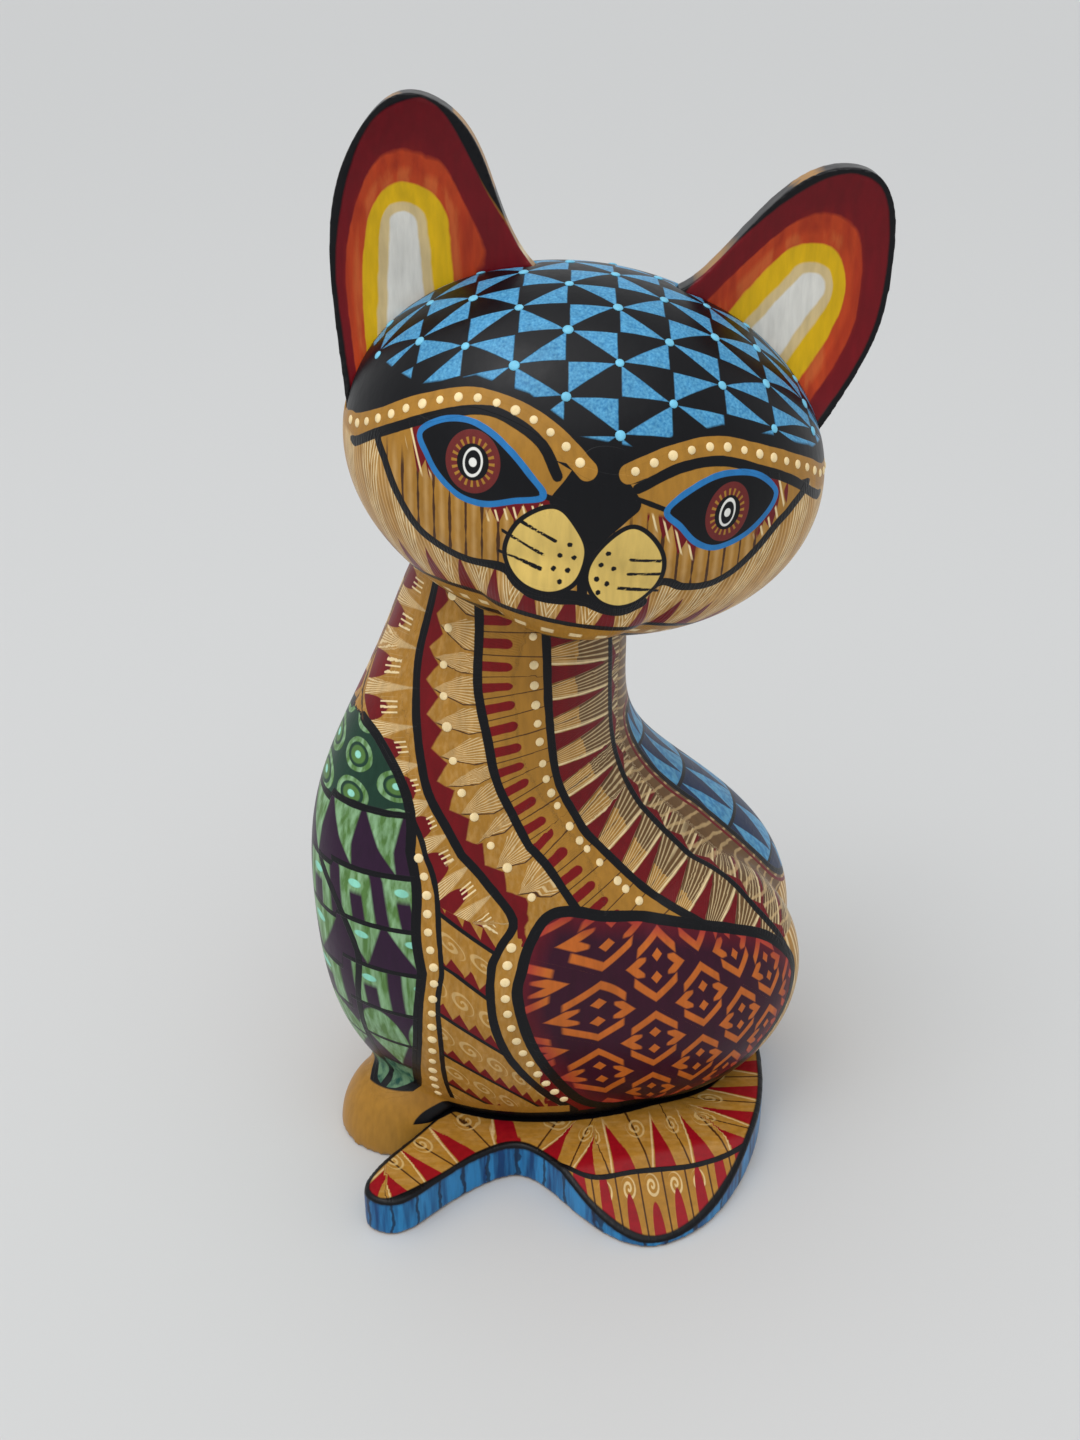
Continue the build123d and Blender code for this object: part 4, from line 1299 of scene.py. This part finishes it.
STRIP_MIDDLE = [(28, 66), (25.5, 60), (23, 51), (20.5, 37), (17.5, 26), (10.5, 12)]
THIGH_STRIP = [(45, 51), (39.5, 45), (39, 39), (40.5, 32), (44, 25), (49.5, 18), (56, 12.5)]
body_dots = []  # rows of points, and the radius of their dots in mm
for far in (False, True):
    first, second, third = (on_body(flowing(band), far) for band in (BAND_A[:10], BAND_B, BAND_C))
    rim_of_thigh = on_body(flowing(THIGH, closed=True), far)
    body_dots.append((clear_of(toward(first, second, 0.46, 5.7), rim_of_thigh, 2.0), 0.75))
    body_dots.append((clear_of(toward(second, third, 0.80, 3.7), rim_of_thigh, 2.0), 0.72))
    body_dots.append((dotted(on_body(flowing(STRIP_MIDDLE), far), 3.2), 0.78))
    body_dots.append((dotted(on_body(flowing(THIGH_STRIP), far), 3.2), 0.82))


# %% [markdown]
# ### One recipe for every dot
# A ball is pressed flat and set on each point, so that it lies along the wood there. Its size is
# the point's own, a little more or less by chance, as a loaded stick leaves it.

# %% The dot recipe
def dot_recipe():
    """A node tree that sets a low dome on every point, lying along the point's own direction."""
    tree = bpy.data.node_groups.new("raised_dots", "GeometryNodeTree")
    face = tree.interface
    face.new_socket("Geometry", in_out="INPUT", socket_type="NodeSocketGeometry")
    for name in ("Height share", "Unevenness"):
        face.new_socket(name, in_out="INPUT", socket_type="NodeSocketFloat")
    face.new_socket("Paint", in_out="INPUT", socket_type="NodeSocketMaterial")
    face.new_socket("Geometry", in_out="OUTPUT", socket_type="NodeSocketGeometry")
    new, join = tree.nodes.new, tree.links.new
    given, made = new("NodeGroupInput"), new("NodeGroupOutput")
    lie, size = new("GeometryNodeInputNamedAttribute"), new("GeometryNodeInputNamedAttribute")
    lie.data_type, size.data_type = "FLOAT_VECTOR", "FLOAT"
    lie.inputs["Name"].default_value, size.inputs["Name"].default_value = "lie", "size"
    turn = new("FunctionNodeAlignRotationToVector")
    turn.axis = "Z"
    chance = new("FunctionNodeRandomValue")
    chance.data_type = "FLOAT"
    chance.inputs["Seed"].default_value = 7
    low, high = new("ShaderNodeMath"), new("ShaderNodeMath")
    low.operation, high.operation = "SUBTRACT", "ADD"
    low.inputs[0].default_value = high.inputs[0].default_value = 1.0
    times = new("ShaderNodeMath")
    times.operation = "MULTIPLY"
    ball = new("GeometryNodeMeshUVSphere")
    ball.inputs["Segments"].default_value, ball.inputs["Rings"].default_value = 14, 8
    ball.inputs["Radius"].default_value = 1.0
    squash = new("ShaderNodeCombineXYZ")
    squash.inputs["X"].default_value = squash.inputs["Y"].default_value = 1.0
    flatten = new("GeometryNodeTransform")
    place, real = new("GeometryNodeInstanceOnPoints"), new("GeometryNodeRealizeInstances")
    paint, smooth = new("GeometryNodeSetMaterial"), new("GeometryNodeSetShadeSmooth")
    points = new("GeometryNodeMeshToPoints")
    join(given.outputs["Geometry"], points.inputs["Mesh"])
    join(given.outputs["Unevenness"], low.inputs[1])
    join(given.outputs["Unevenness"], high.inputs[1])
    join(low.outputs[0], chance.inputs[2])
    join(high.outputs[0], chance.inputs[3])
    join(size.outputs["Attribute"], times.inputs[0])
    join(chance.outputs[1], times.inputs[1])
    join(given.outputs["Height share"], squash.inputs["Z"])
    join(ball.outputs["Mesh"], flatten.inputs["Geometry"])
    join(squash.outputs[0], flatten.inputs["Scale"])
    join(lie.outputs["Attribute"], turn.inputs["Vector"])
    join(points.outputs[0], place.inputs["Points"])
    join(flatten.outputs[0], place.inputs["Instance"])
    join(turn.outputs[0], place.inputs["Rotation"])
    join(times.outputs[0], place.inputs["Scale"])
    join(place.outputs[0], real.inputs[0])
    join(real.outputs[0], smooth.inputs[0])
    join(smooth.outputs[0], paint.inputs["Geometry"])
    join(given.outputs["Paint"], paint.inputs["Material"])
    join(paint.outputs[0], made.inputs[0])
    return tree


recipe = dot_recipe()
print(recipe.name, "has", len(recipe.nodes), "nodes")


# %% [markdown]
# ### Touching the dots on
# The points are gathered with the way that the wood faces at each, the recipe is worked in, and the
# domes stay behind as one piece of thick paint for each set.

# %% Rows of dots
def lay_dots(name, groups, wood, colour):
    """Sets domes of thick paint on the wood; groups are (points in mm, radius in mm)."""
    paint = Paint(name + "_paint", colour)
    speckle = paint.under(paint.noise(2200.0, 2.0), 0.4, 0.3)
    paint.lay(speckle * 0.25, [c * 0.8 for c in colour[:3]] + [1.0])
    places, ways, sizes = [], [], []
    for points, radius in groups:
        for q in points:
            spot, way = wood.find_nearest(Vector(q / MM))[:2]
            places.append(spot)
            ways.append(way)
            sizes.append(radius / MM)
    mesh = bpy.data.meshes.new(name + "_points")
    mesh.from_pydata(places, [], [])
    lie = mesh.attributes.new("lie", "FLOAT_VECTOR", "POINT")
    lie.data.foreach_set("vector", np.array(ways, np.float32).ravel())
    size = mesh.attributes.new("size", "FLOAT", "POINT")
    size.data.foreach_set("value", np.array(sizes, np.float32))
    seeds = bpy.data.objects.new(name + "_points", mesh)
    bpy.context.scene.collection.objects.link(seeds)
    nodes = seeds.modifiers.new("dots", "NODES")
    nodes.node_group = recipe
    inputs = [item for item in recipe.interface.items_tree if item.in_out == "INPUT"]
    sockets = {item.name: item.identifier for item in inputs}
    nodes[sockets["Height share"]] = 0.34
    nodes[sockets["Unevenness"]] = 0.12
    nodes[sockets["Paint"]] = paint.material
    made = applied(seeds)
    bpy.data.objects.remove(seeds)
    made.name = name
    made.materials.clear()
    piece = bpy.data.objects.new(name, made)
    bpy.context.scene.collection.objects.link(piece)
    paint.varnish(piece, 0.3)
    print(name, len(places), "dots")
    return piece


CREAM_DOT, BLUE_DOT = srgb(246, 222, 170), srgb(120, 200, 232)
brow_spots = lay_dots("brow_dots", [(brow_dots, 0.66)], head_wood, CREAM_DOT)
cap_spots = lay_dots("cap_dots", [(cap_dots, 0.72)], head_wood, BLUE_DOT)
body_spots = lay_dots("body_dots", body_dots, torso_wood, CREAM_DOT)

# %% [markdown]
# ## Bare wood
# The dowel in the neck and the pegs under the ears and the tail are never seen once the cat is
# glued together. They stay bare copal: pale, with a faint grain along their length.

# %% Pegs and dowel
wood = Paint("bare_copal", srgb(214, 182, 132))
rings = wood.noise(240.0, 4.0, (1.0, 1.0, 0.12))
wood.lay(wood.under(abs((rings * 9.0).fract() - 0.5), 0.2, 0.3) * 0.5, srgb(176, 138, 88))
bare = [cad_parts[name] for name in ("neck_dowel", "left_ear_pegs", "right_ear_pegs", "tail_pegs")]
for node in bare:
    node.data.materials.clear()
wood.varnish(bare[0], 0.62)
for node in bare[1:]:
    node.data.materials.append(wood.material)

# %% [markdown]
# ## Gluing up
# Every painted piece takes the place of its plain solid, and the dots ride along with the wood that
# they were touched on to.

# %% Put every painted piece on the root body
PIECES = [
    (torso, "torso", "painted_torso"), (head, "head", "painted_head"), (left_ear, "left_ear", "painted_ears"),
    (right_ear, "right_ear", "painted_ears"), (tail, "tail", "painted_tail"),
]
for piece, node, finish in PIECES:
    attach(piece, "root")
    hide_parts(node)

DOTS = [(brow_spots, "painted_head"), (cap_spots, "painted_head"), (body_spots, "painted_torso")]
for spots, finish in DOTS:
    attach(spots, "root")
print(len(PIECES), "carved pieces and", len(DOTS), "sets of dots")

# %% [markdown]
# ## Table, light and camera
# A plain pale table, a bright even ceiling and a small window above and to the left, as in a plain
# room by day. The figure is looked down on from the front, from a little above its ears.

# %% Table and light
scene = bpy.context.scene
scene.view_settings.view_transform = "Standard"
bpy.ops.mesh.primitive_plane_add(size=80.0, location=(0, 0, -0.0002))
table = bpy.context.object
table.name = "table_top"
table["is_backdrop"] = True
cloth = bpy.data.materials.new("pale_table")
cloth.use_nodes = True
skin = cloth.node_tree.nodes["Principled BSDF"]
skin.inputs["Base Color"].default_value = srgb(208, 209, 209)
skin.inputs["Roughness"].default_value = 0.55
table.data.materials.append(cloth)

world = bpy.data.worlds.new("room")
scene.world = world
world.use_nodes = True
world.node_tree.nodes["Background"].inputs["Color"].default_value = srgb(212, 213, 214)
world.node_tree.nodes["Background"].inputs["Strength"].default_value = 0.97


def lamp(name, kind, place, power, **settings):
    """A lamp at a place, turned to the cat."""
    light = bpy.data.lights.new(name, kind)
    light.energy = power
    for setting, value in settings.items():
        setattr(light, setting, value)
    body = bpy.data.objects.new(name, light)
    body.location = place
    body.rotation_euler = (Vector((0, 0, 0.09)) - Vector(place)).to_track_quat("-Z", "Y").to_euler()
    scene.collection.objects.link(body)


lamp("ceiling", "SUN", (-0.2, -0.35, 1.0), 1.1, angle=math.radians(80))
lamp("window", "AREA", (-0.25, -0.25, 0.9), 1.2, size=0.35)

eye = bpy.data.cameras.new("eye")
eye.lens, eye.sensor_width = 40.0, 36.0
camera = bpy.data.objects.new("eye", eye)
camera.location = (-0.0038, -0.2437, 0.2066)
camera.rotation_euler = (math.radians(90 - 28), 0, 0)
scene.collection.objects.link(camera)
scene.camera = camera

# %% [markdown]
# ## The finished size
# The box round the finished figure is measured.

# %% Sizes and finish
low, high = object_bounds()
